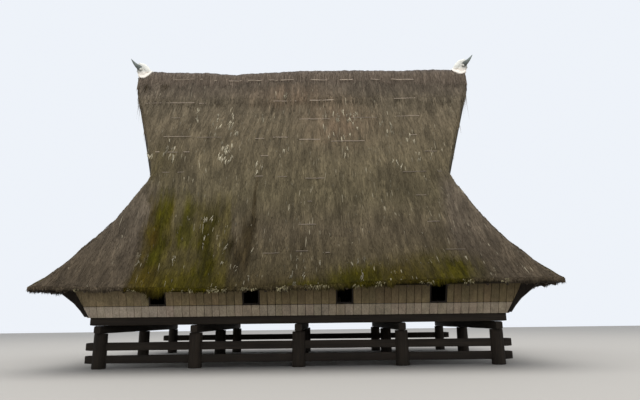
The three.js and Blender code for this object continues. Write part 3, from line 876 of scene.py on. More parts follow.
def verge_fringe(name, quarters, count, seed):
    """Slivers that hang from both leaning verges of one long slope, longer near the top."""
    rng = np.random.default_rng(seed)
    t = rng.uniform(NECK_T, HIGHEST_SHARE, count)
    hand = np.where(rng.random(count) < 0.5, -1.0, 1.0)
    a = hand * (half_length("long", t) - rng.uniform(0.0, 0.03, count))
    root, normal = thatch_point("long", a, t, seed)
    root[:, 2] -= rng.uniform(0.0, 0.75, count) ** 2 * 0.9
    reach = rng.uniform(*VERGE_REACH, count)
    reach = reach + 0.4 * rng.random(count) * (rng.random(count) < LONG_STRANDS)
    bunch = soft_noise(t / 0.035, hand, seed) > 0.1
    at_cover = blob(root[:, 2], 0 * t, COVER_EDGE + 0.35, 0.0, 0.4, 1.0)
    reach = reach * (np.where(bunch, 1.0, 0.45) + 0.9 * at_cover)
    root[:, 0] += hand * rng.uniform(0.0, 0.09, count) * at_cover
    lean = hand * rng.uniform(-0.3, 0.12, count) * reach
    drop = np.stack([lean, -0.12 * reach * rng.random(count), -reach], axis=1)
    outward = unit(np.stack([hand, -0.4 + 0 * hand, 0 * hand], axis=1))
    shape = (root, root + drop, outward, rng.uniform(*VERGE_WIDTH, count), np.full(count, HANGING_HEIGHT))
    tint = 1.2 * thatch_tint("long", root, seed) * uneven(rng, 0.25, count)
    return sliver_piece(name, quarters, *shape, tint, np.stack([a, t], axis=1))


def cover_fringe(name, quarters, count, seed):
    """Slivers that hang from the ragged lower edge of the ridge cover."""
    rng = np.random.default_rng(seed)
    edge_half = NECK_X + (COVER_EDGE - roof_height(NECK_T)) * VERGE_LEAN
    a = rng.uniform(-edge_half, edge_half, count)
    t = share_at(cover_edge(a) + rng.uniform(0.02, 0.16, count))
    root, normal = thatch_point("long", a, t, LONG_SEED)
    bunch = soft_noise(a / 0.3, 0 * a + 1.5, seed) > -0.2
    reach = rng.uniform(*COVER_REACH, count) * np.where(bunch, 1.0, 0.55)
    down = np.stack([rng.normal(0, 0.12, count), -0.28 + 0 * t, -0.95 + 0 * t], axis=1)
    tip = root + down * reach[:, None]
    shape = (root, tip, normal, rng.uniform(*COVER_WIDTH, count), np.full(count, COVER_HEIGHT))
    tint = thatch_tint("long", root, LONG_SEED) * uneven(rng, 0.3, count, -0.05)
    return sliver_piece(name, quarters, *shape, tint, np.stack([a, t], axis=1), "ridge_thatch")


for face, (side, quarters, seed) in FACES.items():
    edge_fringe(f"{face}_eave_fringe", side, quarters, FRINGE_COUNTS[side], seed + 100)
    if side == "long":
        verge_fringe(f"{face}_verge_fringe", quarters, VERGE_COUNT, seed + 200)
        cover_fringe(f"{face}_cover_fringe", quarters, COVER_COUNT, seed + 300)

# %% [markdown]
# ## Pale straws
#
# Bleached straws stick out of the slope in small tufts, and the tufts lie in loose bunches. Each
# bunch has a place on the slope and a size. The straws are short slivers that stand off the thatch a
# little more than the rest. Others lie by themselves, and are dimmer.

# %% Straw bunches
# Place along the slope, height, radius and number of straws
STRAW_BUNCHES = [
    (-6.0, 8.05, 0.18, 10), (-5.3, 8.1, 0.28, 26), (-5.05, 7.95, 0.2, 12), (-3.6, 9.8, 0.4, 22),
    (-2.9, 9.6, 0.35, 26), (-2.75, 9.1, 0.2, 16), (-4.5, 9.75, 0.2, 12), (-3.15, 8.0, 0.26, 34),
    (-2.95, 8.2, 0.2, 30), (-2.85, 7.6, 0.25, 14), (-4.55, 10.7, 0.2, 8), (-1.63, 9.85, 0.15, 8),
    (-1.6, 7.2, 0.2, 12), (-0.4, 8.1, 0.3, 8), (1.2, 8.9, 0.5, 16), (1.7, 9.95, 0.4, 26),
    (2.2, 9.9, 0.35, 22), (1.8, 8.6, 0.4, 20), (-3.1, 4.95, 0.2, 14), (-4.0, 3.6, 0.15, 9),
    (-5.05, 3.5, 0.12, 5), (-3.15, 4.3, 0.25, 8), (-0.7, 11.4, 0.3, 6), (3.4, 9.2, 0.6, 26),
    (4.9, 8.2, 0.6, 20), (3.9, 7.2, 0.5, 14), (0.1, 2.56, 0.45, 22), (2.0, 2.75, 0.25, 20),
    (-1.44, 3.75, 0.03, 4), (-1.86, 3.05, 0.03, 4), (-1.46, 2.85, 0.03, 4), (-2.37, 3.3, 0.03, 4),
    (-0.03, 3.35, 0.03, 4), (0.73, 3.25, 0.03, 4), (0.21, 2.8, 0.03, 4), (-2.33, 3.9, 0.03, 4),
]
TUFT_STRAWS = 4
LOOSE_STRAWS = 170
# The loose straws lie up to here on both sides of the middle, between these heights
LOOSE_HALF = 5.6
LOOSE_HEIGHTS = (2.7, 11.9)
STRAW_REACH = (0.1, 0.3)
STRAW_WIDTH = (0.016, 0.036)
STRAW_HEIGHT = 0.006
# Brightness of the straws at these heights: they are dirtier near the eave
STRAW_BY_HEIGHT = ((2.5, 5.0), (0.45, 1.0))


def straw_bunches(name, quarters, mirror, seed):
    """Short pale slivers on one long slope, in small tufts that form bunches and by themselves."""
    rng = np.random.default_rng(seed)
    bunches = np.array(STRAW_BUNCHES)
    owner = np.repeat(np.arange(len(bunches)), np.ceil(bunches[:, 3] / TUFT_STRAWS).astype(int))
    centre = bunches[owner, :2] * np.array([mirror, 1.0])
    centre = centre + rng.normal(0, 1, (len(owner), 2)) * bunches[owner, 2:3] * np.array([0.5, 0.8])
    in_tuft = len(owner) * TUFT_STRAWS
    tuft_places = np.repeat(centre, TUFT_STRAWS, axis=0)
    tuft_places = tuft_places + rng.normal(0, 1, (in_tuft, 2)) * np.array([0.02, 0.05])
    loose_x = rng.uniform(-LOOSE_HALF, LOOSE_HALF, LOOSE_STRAWS)
    loose = np.stack([loose_x, rng.uniform(*LOOSE_HEIGHTS, LOOSE_STRAWS)], axis=1)
    places = np.concatenate([tuft_places, loose])
    t = np.clip(share_at(np.maximum(places[:, 1], EAVE_TOP + 0.01)), 0.002, HIGHEST_SHARE)
    root, normal = thatch_point("long", places[:, 0], t, LONG_SEED)
    count = len(places)
    reach = rng.uniform(*STRAW_REACH, count)
    tip_t = np.maximum(t - reach / 12.0, 0)
    aside = np.repeat(rng.normal(0, 0.2, len(owner)), TUFT_STRAWS)
    aside = np.concatenate([aside, rng.normal(0, 0.1, LOOSE_STRAWS)])
    tip_a = follow("long", places[:, 0], t, tip_t) + (aside + rng.normal(0, 0.08, count)) * reach
    tip, tip_normal = thatch_point("long", tip_a, tip_t, LONG_SEED)
    tip = tip + tip_normal * rng.uniform(0.02, 0.06, count)[:, None]
    width = rng.uniform(*STRAW_WIDTH, count)
    shape = (root + normal * 0.02, tip, normal, width, np.full(count, STRAW_HEIGHT))
    bright = np.repeat(rng.uniform(0.35, 0.95, len(owner)), TUFT_STRAWS)
    bright = np.concatenate([bright, rng.uniform(0.2, 0.4, LOOSE_STRAWS)])
    bright = bright * np.interp(places[:, 1], *STRAW_BY_HEIGHT)
    return sliver_piece(name, quarters, *shape, STRAW * bright[:, None], places)


straw_bunches("front_straws", 0, 1.0, 61)
straw_bunches("back_straws", 2, -1.0, 62)

# %% [markdown]
# ## A profile carried along a path
#
# Poles, posts, beams, boards and horns are all one idea: a ring of points carried along a path. The
# ring is a superellipse, round at power 2 and nearly square at power 7. One call makes any number of
# them at once, as long as they have equal numbers of stations. Each ends in a closed cap.


# %% Sweep
def sweep(paths, half, across, sides, power=2.0, swell=None, level=False):
    """Closed tubes along paths (m, n, 3), with half sizes (m, n, 2) across and up, as points and faces.

    The rings stand square to the path, or keep the across direction when level is true.
    """
    paths = np.asarray(paths, dtype=np.float64)
    tubes, stations, _ = paths.shape
    half = np.broadcast_to(half, (tubes, stations, 2))
    across = np.broadcast_to(across, (tubes, 3))[:, None, :]
    along = unit(np.gradient(paths, axis=1))
    up = unit(np.cross(along, across))
    aside = unit(across + 0 * up) if level else np.cross(up, along)
    angle = 2 * np.pi * np.arange(sides) / sides
    ring_x = np.sign(np.cos(angle)) * np.abs(np.cos(angle)) ** (2 / power)
    ring_y = np.sign(np.sin(angle)) * np.abs(np.sin(angle)) ** (2 / power)
    scale = np.ones((tubes, stations, sides)) if swell is None else swell
    rings = (
        paths[:, :, None]
        + (half[..., :1] * ring_x * scale)[..., None] * aside[:, :, None]
        + (half[..., 1:] * ring_y * scale)[..., None] * up[:, :, None]
    )
    size = stations * sides + 2
    points = np.concatenate([rings.reshape(tubes, -1, 3), paths[:, :1], paths[:, -1:]], axis=1)
    number = np.arange(stations * sides).reshape(stations, sides)
    after = np.roll(number, -1, axis=1)
    quads = np.stack([number[:-1], after[:-1], after[1:], number[1:]], axis=-1).reshape(-1, 4)
    first = np.stack([np.full(sides, size - 2), after[0], number[0]], axis=-1)
    last = np.stack([np.full(sides, size - 1), number[-1], after[-1]], axis=-1)
    shift = size * np.arange(tubes)[:, None, None]
    all_quads = (quads[None] + shift).reshape(-1, 4)
    all_caps = (np.concatenate([first, last])[None] + shift).reshape(-1, 3)
    return points.reshape(-1, 3), [all_quads, all_caps]


def join(parts):
    """Points and face arrays of several meshes as one."""
    points = np.concatenate([part[0] for part in parts])
    shift = np.cumsum([0] + [len(part[0]) for part in parts[:-1]])
    kinds = range(len(parts[0][1]))
    faces = [np.concatenate([part[1][kind] + move for part, move in zip(parts, shift)]) for kind in kinds]
    return points, faces


def tinted_piece(name, form, colours, material, slot, *nodes, quarters=0, sharp=None):
    """A placed piece from points and faces, with a colour for each point or for each equal tube."""
    points, faces = form
    tints = np.repeat(colours, len(points) // len(colours), axis=0)
    piece = put_mesh(name, points, faces, tints, quarters=quarters, sharp=sharp)
    return place(piece, material, slot, *nodes)


def eased(count, step=0.04, narrow=0.86):
    """Shares of the way along a piece, with a close pair at each end, and the factor that rounds them."""
    shares = np.concatenate([[0.0], np.linspace(step, 1 - step, count - 2), [1.0]])
    factor = np.ones(count)
    factor[[0, -1]] = narrow
    return shares, factor


stick_points, _ = sweep([[[0, 0, 0], [0, 0, 1]]], (1, 1), (1, 0, 0), 8)
print("a tube of two rings of 8 has", len(stick_points), "points")

# %% [markdown]
# ## Wood materials
#
# Old wood is grey outside, with dark grain that runs along the piece. The grain is noise stretched
# along one axis of the object. A tint for each board or beam keeps neighbours apart, and a broad
# noise adds stains. Pieces that run along x, y or z each get their own direction of stretch.


# %% Wood
def wood_material(name, stretch, contrast, roughness, bump_distance):
    """Grained wood: tint times fine grain, broad grain and stains."""
    material, tree, shader = start_material(name, roughness)
    grain = dim_by_noise(tree, shader, tint_of(tree), object_place(tree), [
        (stretch, 4.0, 0.0, 1 - contrast, 1 + contrast),
        (tuple(0.22 * value for value in stretch), 2.0, 5.3, 1 - 0.6 * contrast, 1 + 0.6 * contrast),
        ((1.6, 1.6, 2.4), 3.0, 1.7, 0.82, 1.12),
    ])
    worn = to_range(tree, grain, roughness - 0.08, min(roughness + 0.08, 1.0))
    tree.links.new(worn, shader.inputs["Roughness"])
    add_bump(tree, shader, grain, 0.7, bump_distance)
    return material


upright_wood = wood_material("weathered_boards", (38.0, 38.0, 1.6), 0.34, 0.85, 0.004)
lengthwise_wood = wood_material("timber_along_x", (1.2, 30.0, 30.0), 0.36, 0.85, 0.006)
crosswise_wood = wood_material("timber_along_y", (30.0, 1.2, 30.0), 0.36, 0.85, 0.006)
log_wood = wood_material("post_logs", (16.0, 16.0, 1.3), 0.42, 0.9, 0.012)
print("wood materials are ready")

# %% [markdown]
# ## Board walls
#
# Two bands of upright boards lean out under the eave. The walls widen as they rise, so the last
# boards at each end are trimmed along the corner. Between the boards are narrow joints, closed from
# behind by dark strips, and between the bands is a slot, closed by a dark rail. The joints of the two
# bands stand over one another, and the window openings fall between joints. Painted shade darkens
# the boards towards the eave, for the eave's shadow.

# %% Walls
SILL_TOP = 1.63
WALL_HALF = {"long": 6.8, "end": 4.5}
WALL_LEAN = 0.45
WALL_RISE = 1.45
BAND_SEAM = 0.33
SEAM_SLOT = 0.02
CORNER_ROOM = 0.065
WINDOW_CENTRES = (-4.5, -1.5, 1.5, 4.5)
WINDOW_WIDTH = 0.55
WINDOW_HEIGHT = 0.62
DOOR_WIDTH = 0.9
DOOR_HEIGHT = 1.2
# The openings of each kind of wall: centre and width, and the rise of their bottom and top
OPENINGS = {"long": [(centre, WINDOW_WIDTH) for centre in WINDOW_CENTRES], "end": [(0.0, DOOR_WIDTH)]}
OPENING_RISE = {"long": (BAND_SEAM, BAND_SEAM + WINDOW_HEIGHT), "end": (0.0, DOOR_HEIGHT)}
BOARD_WIDTH = 0.235
BOARD_THICKNESS = 0.045
JOINT = 0.006
BAND_PROUD = 0.025
# Half width of the dark strip behind each joint
STRIP = 0.03
# The rise at which the boards start, just below the top of the sill
FOOT = -0.02
# Painted shade for the eave's shadow darkens the boards by this share, between these two rises above the sill
PAINTED_EAVE_SHADE = 0.6
EAVE_SHADE_FROM = 0.35
EAVE_SHADE_TO = 1.1
# The boards at the left end are paler, fading out here, and the bays right of that are darker
LEFT_END_LIFT = np.array([0.2, 0.22, 0.3])
LEFT_END_TO = -3.4
BAY_DIMMING = 0.1
BAY_DIMMING_FROM = -2.5
# On a long wall the joints are this share of their width at the left end, and widen over a run
TIGHT_JOINT = 0.12
TIGHT_FROM = -5.4
TIGHT_RUN = 3.2
# The joints' uneven widths stay between these factors
JOINT_RANGE = (0.15, 2.6)
LOWER_BOARD = linear(163, 149, 129)
# The upper band's colour is darker than the lower's partly by painted shade from the eave
SHADED_UPPER_BOARD = linear(128, 113, 85)
STRIP_WOOD = linear(58, 50, 40)
# Near black wood of the frames and rails; on the corner boards the same colour is painted shade
DARK_TIMBER = linear(44, 39, 34)
# Sides and power of the nearly square rings of boards and bars
SQUARE_RING = (12, 7.0)
# Edges that bend by more than this many degrees stay sharp
SHARP_BEND = 50
WALL_SEED = 300
WALLS = {"front": ("long", 0), "back": ("long", 2), "right": ("end", 1), "left": ("end", 3)}
# Each band's lowest and highest rise, how far it stands proud, its colour and its slot
BANDS = {
    "lower": (FOOT, BAND_SEAM - SEAM_SLOT, BAND_PROUD, LOWER_BOARD, "board"),
    "upper": (BAND_SEAM, WALL_RISE, 0.0, SHADED_UPPER_BOARD, "shaded_board"),
}
# The rise from which the boards of a bay start, where an opening takes the part below it or all
STARTS = {
    ("long", "lower"): {},
    ("long", "upper"): dict.fromkeys((1, 3, 5, 7), BAND_SEAM + WINDOW_HEIGHT),
    ("end", "lower"): {1: math.inf},
    ("end", "upper"): {1: DOOR_HEIGHT},
}


def wall_end(side, rise):
    """Half length of a wall at a rise above the sill, up to its corner boards."""
    return WALL_HALF[side] + WALL_LEAN * rise - CORNER_ROOM


def wall_point(side, along, rise, proud):
    """Point of the wall's outer face, looking along -Y: the wall leans out as it rises."""
    other = WALL_HALF["end" if side == "long" else "long"]
    return np.stack(np.broadcast_arrays(along, -(other + WALL_LEAN * rise + proud), SILL_TOP + rise), axis=-1)


def board_edges(side, rng):
    """Edges of boards along a wall: each bay between openings is cut to boards of near equal width."""
    end = wall_end(side, WALL_RISE)
    sides = [centre + hand * width / 2 for centre, width in OPENINGS[side] for hand in (-1, 1)]
    stops = [-end, *sides, end]
    edges = []
    for low, high in zip(stops[:-1], stops[1:]):
        count = max(1, round((high - low) / BOARD_WIDTH))
        cuts = np.linspace(low, high, count + 1)
        cuts[1:-1] += rng.uniform(-0.022, 0.022, count - 1)
        edges.append(cuts)
    return edges


def boards(side, lows, highs, bottom, top, proud, colour, rng):
    """Upright boards between pairs of edges, trimmed by the leaning corners of the wall."""
    inner = np.where(lows * highs > 0, np.minimum(np.abs(lows), np.abs(highs)), 0)
    kept = inner < wall_end(side, top) - 0.02
    lows, highs, inner = lows[kept], highs[kept], inner[kept]
    shares, factor = eased(7)
    start = np.maximum((inner - wall_end(side, 0)) / WALL_LEAN, bottom)[:, None]
    rise = start + (top - start) * shares
    low = np.maximum(lows[:, None], -wall_end(side, rise))
    high = np.minimum(highs[:, None], wall_end(side, rise))
    sit = rng.normal(0, 0.003, len(lows))[:, None]
    path = wall_point(side, (low + high) / 2, rise, proud - BOARD_THICKNESS / 2 + sit)
    tight = np.clip((lows - TIGHT_FROM) / TIGHT_RUN, TIGHT_JOINT, 1)[:, None] if side == "long" else 1.0
    joint = JOINT / 2 * (tight * np.clip(uneven(rng, 0.8, len(lows), -0.2), *JOINT_RANGE))
    half_width = np.maximum((high - low) / 2 - joint + rng.normal(0, 0.0015, low.shape), 0.003)
    half = np.stack([half_width * (0.88 + 0.12 * factor), BOARD_THICKNESS / 2 * factor + 0 * low], axis=-1)
    points, faces = sweep(path, half, (1.0, 0.0, 0.0), *SQUARE_RING, level=True)
    shade = uneven(rng, 0.05, len(lows))
    if side == "long":
        left_end_share = np.clip((LEFT_END_TO - lows) / 1.2, 0, 1)[:, None]
        dimmed_bays = np.clip(lows - BAY_DIMMING_FROM, 0, 1)[:, None]
        shade = shade * (1 + LEFT_END_LIFT * left_end_share - BAY_DIMMING * dimmed_bays)
    warm = rng.normal(0, 0.012, (len(lows), 3))
    tints = np.repeat(np.clip(colour * shade * (1 + warm), 0, 1), len(points) // len(lows), axis=0)
    # Painted shade: the boards darken towards the eave, where its shadow falls
    eave_shade_share = smooth_step(np.clip((points[:, 2] - SILL_TOP - EAVE_SHADE_FROM) / (EAVE_SHADE_TO - EAVE_SHADE_FROM), 0, 1))
    return points, faces, tints * (1 - PAINTED_EAVE_SHADE * eave_shade_share)[:, None]


def wall_band(face, side, quarters, band, *nodes):
    """One band of boards on one wall, with strips behind the joints."""
    bottom, top, proud, colour, slot = BANDS[band]
    rng = np.random.default_rng(WALL_SEED + quarters)
    parts = []
    for bay, cuts in enumerate(board_edges(side, rng)):
        start = STARTS[side, band].get(bay, bottom)
        if start < top:
            parts.append(boards(side, cuts[:-1], cuts[1:], start, top, proud, colour, rng))
            behind = cuts if start == bottom else cuts[1:-1]
            back = proud - 0.9 * BOARD_THICKNESS
            parts.append(boards(side, behind - STRIP, behind + STRIP, start, top, back, STRIP_WOOD, rng))
    tints = np.concatenate([part[2] for part in parts])
    looks = (tints, upright_wood, slot)
    tinted_piece(f"{face}_{band}_boards", join(parts), *looks, *nodes, quarters=quarters, sharp=SHARP_BEND)


for face, (side, quarters) in WALLS.items():
    if side == "long":
        wall_band(face, side, quarters, "lower", f"{face}_wall_lower")
        wall_band(face, side, quarters, "upper", f"{face}_wall_upper")
    else:
        replaced = [f"{face}_wall_{part}" for part in ("back_part", "front_part", "over_door")]
        wall_band(face, side, quarters, "lower")
        wall_band(face, side, quarters, "upper", *replaced)

# %% [markdown]
# ## Window and door frames
#
# Each opening is lined with dark timber: two jambs that lean out with the wall, a head above them
# and a window's sill below. The lining stands back from the face of the boards, and so does the rail
# behind the slot between the two bands. All of these are bars swept along short straight paths.

# %% Frames
FRAME_DEPTH = 0.09
FRAME_BAR = 0.045
RAIL_SETBACK = 0.045
RAIL_DEPTH = 0.04
RAIL_HEIGHT = 0.07
ALONG_WALL = (1.0, 0.0, 0.0)
THROUGH_WALL = (0.0, 1.0, 0.0)


def wall_bar(side, start, end, proud, across, size):
    """A bar in a wall from one (place, rise) to another, with its size across and square to that."""
    shares, factor = eased(5)
    line = np.array(start) + (np.array(end) - np.array(start)) * shares[:, None]
    path = wall_point(side, line[:, 0], line[:, 1], proud)
    return sweep(path[None], np.outer(factor, size)[None] / 2, across, *SQUARE_RING)


def opening_bars(side, centre, width):
    """Two jambs, a head and a window's sill round an opening in a leaning wall."""
    bottom, top = OPENING_RISE[side]
    bars = []
    for hand in (-1, 1):
        along = centre + hand * (width - FRAME_BAR) / 2
        ends = ((along, bottom), (along, top))
        bars.append(wall_bar(side, *ends, -FRAME_DEPTH / 2 - 0.01, ALONG_WALL, (FRAME_BAR, FRAME_DEPTH)))
    levels = [bottom + FRAME_BAR / 2, top - FRAME_BAR / 2]
    if side == "end":
        levels = levels[1:]
    reach = width / 2 + 0.01
    for level in levels:
        ends = ((centre - reach, level), (centre + reach, level))
        bars.append(wall_bar(side, *ends, -FRAME_DEPTH / 2 - 0.012, THROUGH_WALL, (FRAME_DEPTH, FRAME_BAR)))
    return bars


def seam_rails(side):
    """The rail behind the slot between the bands of a wall, which a doorway cuts in two."""
    end = wall_end(side, BAND_SEAM)
    spans = [(-end, end)] if side == "long" else [(-end, -DOOR_WIDTH / 2), (DOOR_WIDTH / 2, end)]
    rise = BAND_SEAM - SEAM_SLOT / 2
    looks = (-RAIL_SETBACK, THROUGH_WALL, (RAIL_DEPTH, RAIL_HEIGHT))
    return [wall_bar(side, (low, rise), (high, rise), *looks) for low, high in spans]


for face, (side, quarters) in WALLS.items():
    bars = [bar for opening in OPENINGS[side] for bar in opening_bars(side, *opening)]
    form = join(bars + seam_rails(side))
    name = f"{face}_opening_frames"
    tinted_piece(name, form, [DARK_TIMBER], upright_wood, "timber", quarters=quarters, sharp=SHARP_BEND)

# %% [markdown]
# ## Hewn timbers and posts
#
# The beams are hewn, so no face is quite flat: a box swept along its length with small random
# changes of size at every station. Their places and sizes come from the solids' boxes. The posts
# are round logs with shallow flutes, a little wider at the foot.

# %% Timbers
# Dark old wood, made darker still by painted shade for the deep shade under the floor
SHADED_BEAM_TIMBER = linear(50, 44, 38)
BEAM_RING = (20, 7.0)
# Stations and wood of the beams that run along x, and of those that run along y
BEAM_KINDS = ((24, lengthwise_wood), (16, crosswise_wood))
LOG_STATIONS = 14
LOG_SIDES = 44
LOG_SHARP_BEND = 60
# Gap between two floor boards
FLOOR_GAP = 0.012


def hewn_beam(node, axis, stations, seed):
    """A near square bar that fills the node's box, running along one axis."""
    rng = np.random.default_rng(seed)
    low, high = box_corners(node)
    shares, factor = eased(stations, 0.01, 0.9)
    path = np.tile((low + high) / 2, (stations, 1))
    path[:, axis] = low[axis] + (high[axis] - low[axis]) * shares
    others = [(axis + 1) % 3, (axis + 2) % 3]
    wobble = 1 - np.abs(rng.normal(0, 0.018, (stations, 2)))
    half = (high - low)[others] / 2 * factor[:, None] * wobble
    return sweep(path[None], half[None], np.eye(3)[others[0]], *BEAM_RING)


def beams(name, nodes, axis, seed):
    """Several beams as one piece that stands for their nodes."""
    stations, wood = BEAM_KINDS[axis]
    form = join([hewn_beam(node, axis, stations, seed + index) for index, node in enumerate(nodes)])
    colours = SHADED_BEAM_TIMBER * uneven(np.random.default_rng(seed), 0.1, len(nodes))
    return tinted_piece(name, form, colours, wood, "timber", *nodes, sharp=SHARP_BEND)


beams("rails", [f"rail_{row}_{level}" for row in ("front", "back") for level in ("lower", "upper")], 0, 401)
beams("long_sills", ["sill_front", "sill_back"], 0, 411)
beams("end_sills", ["sill_left", "sill_right"], 1, 421)
beams("girders", [f"girder_{n}" for n in range(1, 6)], 1, 431)


def logs(name, nodes, seed):
    """Fluted round posts that fill their nodes' boxes."""
    rng = np.random.default_rng(seed)
    low, high = np.array([box_corners(node) for node in nodes]).transpose(1, 0, 2)
    shares, factor = eased(LOG_STATIONS, 0.015, 0.94)
    path = np.repeat((low + high)[:, None] / 2, LOG_STATIONS, axis=1)
    path[:, :, 2] = low[:, 2:] + (high - low)[:, 2:] * shares
    radius = (high - low)[:, :1] / 2 * (1.0 - 0.06 * shares) * factor
    angle = np.arange(LOG_SIDES) / LOG_SIDES * 2 * np.pi
    number = np.arange(len(nodes))[:, None, None] * 9.0

    def bark(size, stretch, bark_seed):
        """Noise round and up each log, different on every log."""
        up = shares[:, None] * stretch
        return soft_noise(np.cos(angle) * size + number, np.sin(angle) * size + up, bark_seed)

    swell = 0.955 + 0.025 * bark(2.6, 0.8, seed) + 0.02 * bark(6.5, 0.6, seed + 9)
    form = sweep(path, np.stack([radius, radius], axis=-1), (1.0, 0.0, 0.0), LOG_SIDES, 2.0, swell)
    colours = SHADED_BEAM_TIMBER * uneven(rng, 0.12, len(nodes))
    return tinted_piece(name, form, colours, log_wood, "timber", *nodes, sharp=LOG_SHARP_BEND)


for row_index, row in enumerate(("front", "middle", "back")):
    logs(f"{row}_posts", [f"post_{row}_{n}" for n in range(1, 6)], 450 + row_index)


def floor_boards(name, node, count, seed):
    """Long boards side by side that fill the floor's box."""
    low, high = box_corners(node)
    shares, factor = eased(12, 0.01, 0.95)
    width = (high[1] - low[1]) / count
    path = np.zeros((count, len(shares), 3))
    path[:, :, 0] = low[0] + (high[0] - low[0]) * shares
    path[:, :, 1] = (low[1] + width * (np.arange(count) + 0.5))[:, None]
    path[:, :, 2] = (low[2] + high[2]) / 2
    half = np.outer(factor, [(width - FLOOR_GAP) / 2, (high[2] - low[2]) / 2])
    form = sweep(path, half, (0.0, 1.0, 0.0), *SQUARE_RING)
    colours = SHADED_UPPER_BOARD * uneven(np.random.default_rng(seed), 0.12, count, -0.4)
    return tinted_piece(name, form, colours, lengthwise_wood, "shaded_board", node, sharp=SHARP_BEND)


floor_boards("floor_boards", "floor_deck", 30, 471)

# %% [markdown]
# ## Corner boards
#
# The dark boards that stand in the corners have the right shape in the solid model already, so they
# only get a finish. Their near black colour is painted shade, for the shadow in the corners. A solid
# model's mesh has no tint, so this wood has its colour in the material.

# %% Corner board finish
# The corner boards' near black colour is painted shade for the shadow in the corners
corner_wood, corner_tree, corner_shader = start_material("corner_boards_painted_shade", 0.8)
corner_colour = add_node(corner_tree, "ShaderNodeRGB").outputs["Color"]
corner_colour.default_value = (*DARK_TIMBER, 1)
corner_grain = dim_by_noise(
    corner_tree, corner_shader, corner_colour, object_place(corner_tree),
    [((30.0, 30.0, 1.8), 4.0, 0.0, 0.6, 1.5)],
)
add_bump(corner_tree, corner_shader, corner_grain, 0.7, 0.005)
for node_name, node_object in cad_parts.items():
    if node_name.startswith("corner_board"):
        node_object.data.materials.clear()
        node_object.data.materials.append(corner_wood)
print("corner boards finished")

# %% [markdown]
# ## Ridge cap
#
# A thick roll of fibre is tied over the ridge. Its cross section is a rounded roof, worked out as
# the distance from the ridge with its corner softened, and its edge thins out on the slope. The top
# line rises and sags along the house as the real one does.

# %% Ridge cap
# Height of the top of the cap along the house
RIDGE_TOP = np.array([
    (-7.5, 12.44), (-7.25, 12.46), (-6.95, 12.58), (-6.55, 12.60), (-6.2, 12.55), (-4.3, 12.51),
    (-3.0, 12.40), (-1.8, 12.47), (-0.4, 12.55), (2.5, 12.56), (4.6, 12.50), (6.0, 12.56),
    (7.0, 12.52), (7.5, 12.45),
])
CAP_REACH = box_corners("ridge_cap")[1][0]
CAP_HALF_WIDTH = 0.27
CAP_ROUND = 0.1
CAP_COLOUR = linear(107, 96, 84)
CROWN_COLOUR = linear(92, 87, 85)
# Half width of the crown in q
CROWN_HALF = 0.28


def cap_point(x, q):
    """Point of the cap at place x along the ridge and q from -1 at the front edge to 1 at the back."""
    width = CAP_HALF_WIDTH * (1 + 0.07 * soft_noise(x / 0.5, 0 * x, 81))
    y = q * width
    top = np.interp(x, RIDGE_TOP[:, 0], RIDGE_TOP[:, 1]) + 0.014 * soft_noise(x / 0.22, 0 * x + 2, 82)
    steep = (roof_height(1.0) - roof_height(0.95)) / (0.05 * EAVE_Y)
    slope = roof_height(1 - np.abs(y) / EAVE_Y)
    rounded = top - steep * (np.sqrt(y**2 + CAP_ROUND**2) - CAP_ROUND)
    lift = (rounded - slope) * (1 - np.abs(q) ** 2.5) + COVER_THICKNESS
    rough = 0.016 * soft_noise(x / 0.12, q * 1.5, 83) * (1 - np.abs(q) ** 4)
    return np.stack(np.broadcast_arrays(x, y, slope + lift + rough), axis=-1)


def cap_tint(q):
    """Colour of the cap: greyer along its crown."""
    return mix(CAP_COLOUR, CROWN_COLOUR, np.exp(-(q / CROWN_HALF) ** 2))


def ridge_cap(name, columns, ring):
    """The cap as a closed shell: an outer surface, and an inner one sunk in the slopes."""
    x, q = np.meshgrid(np.linspace(-CAP_REACH, CAP_REACH, columns), np.linspace(-1, 1, ring))
    outer = cap_point(x, q)
    inner = outer.copy()
    slope = roof_height(1 - np.abs(outer[..., 1]) / EAVE_Y)
    inner[..., 2] = np.minimum(outer[..., 2] - 0.06, slope - 0.02)
    shade = 1 + 0.22 * soft_noise(x / 0.09, q / 0.8, 84)
    tint = (cap_tint(q) * shade[..., None]).reshape(-1, 3)
    lay = np.stack([x, q * 0.6], axis=-1).reshape(-1, 2)
    looks = (np.concatenate([tint, tint]), np.concatenate([lay, lay]))
    piece = put_mesh(name, *closed_shell(outer, inner), *looks)
    return place(piece, thatch_base_material, "ridge_thatch", "ridge_cap")


def cap_fibres(name, count, seed):
    """Slivers that lie down both sides of the cap and past its edges."""
    rng = np.random.default_rng(seed)
    x = rng.uniform(-CAP_REACH, CAP_REACH, count)
    q = rng.uniform(-0.9, 0.9, count)
    hand = np.sign(q)
    root = cap_point(x, q)
    tip_q = q + hand * rng.uniform(0.15, 0.7, count)
    tip = cap_point(x + rng.normal(0, 0.03, count), np.clip(tip_q, -1, 1))
    past = np.maximum(np.abs(tip_q) - 1, 0) * CAP_HALF_WIDTH
    tip = tip + np.stack([0 * past, hand * past, -2.3 * past], axis=1)
    normal = unit(np.stack([0 * x, hand, 0.45 + 0 * x], axis=1))
    tip = tip + normal * rng.uniform(0, 0.025, count)[:, None]
    shape = (root, tip, normal, rng.uniform(0.015, 0.04, count), rng.uniform(0.006, 0.016, count))
    tint = cap_tint(q) * uneven(rng, 0.25, count)
    return sliver_piece(name, 0, *shape, tint, np.stack([x, q], axis=1), "ridge_thatch")


ridge_cap("ridge_cap_bed", 420, 33)
cap_fibres("ridge_cap_fibres", 9000, 85)

# %% [markdown]
# ## Battens that hold the thatch down
#
# Split bamboo lies over the thatch in level rows, about a metre apart, and is half lost in it, so it
# shows as pale dashes. Each is straight, and rests on the higher parts of the uneven slope under it.
# Those on the front are placed one by one, and the rest at random.

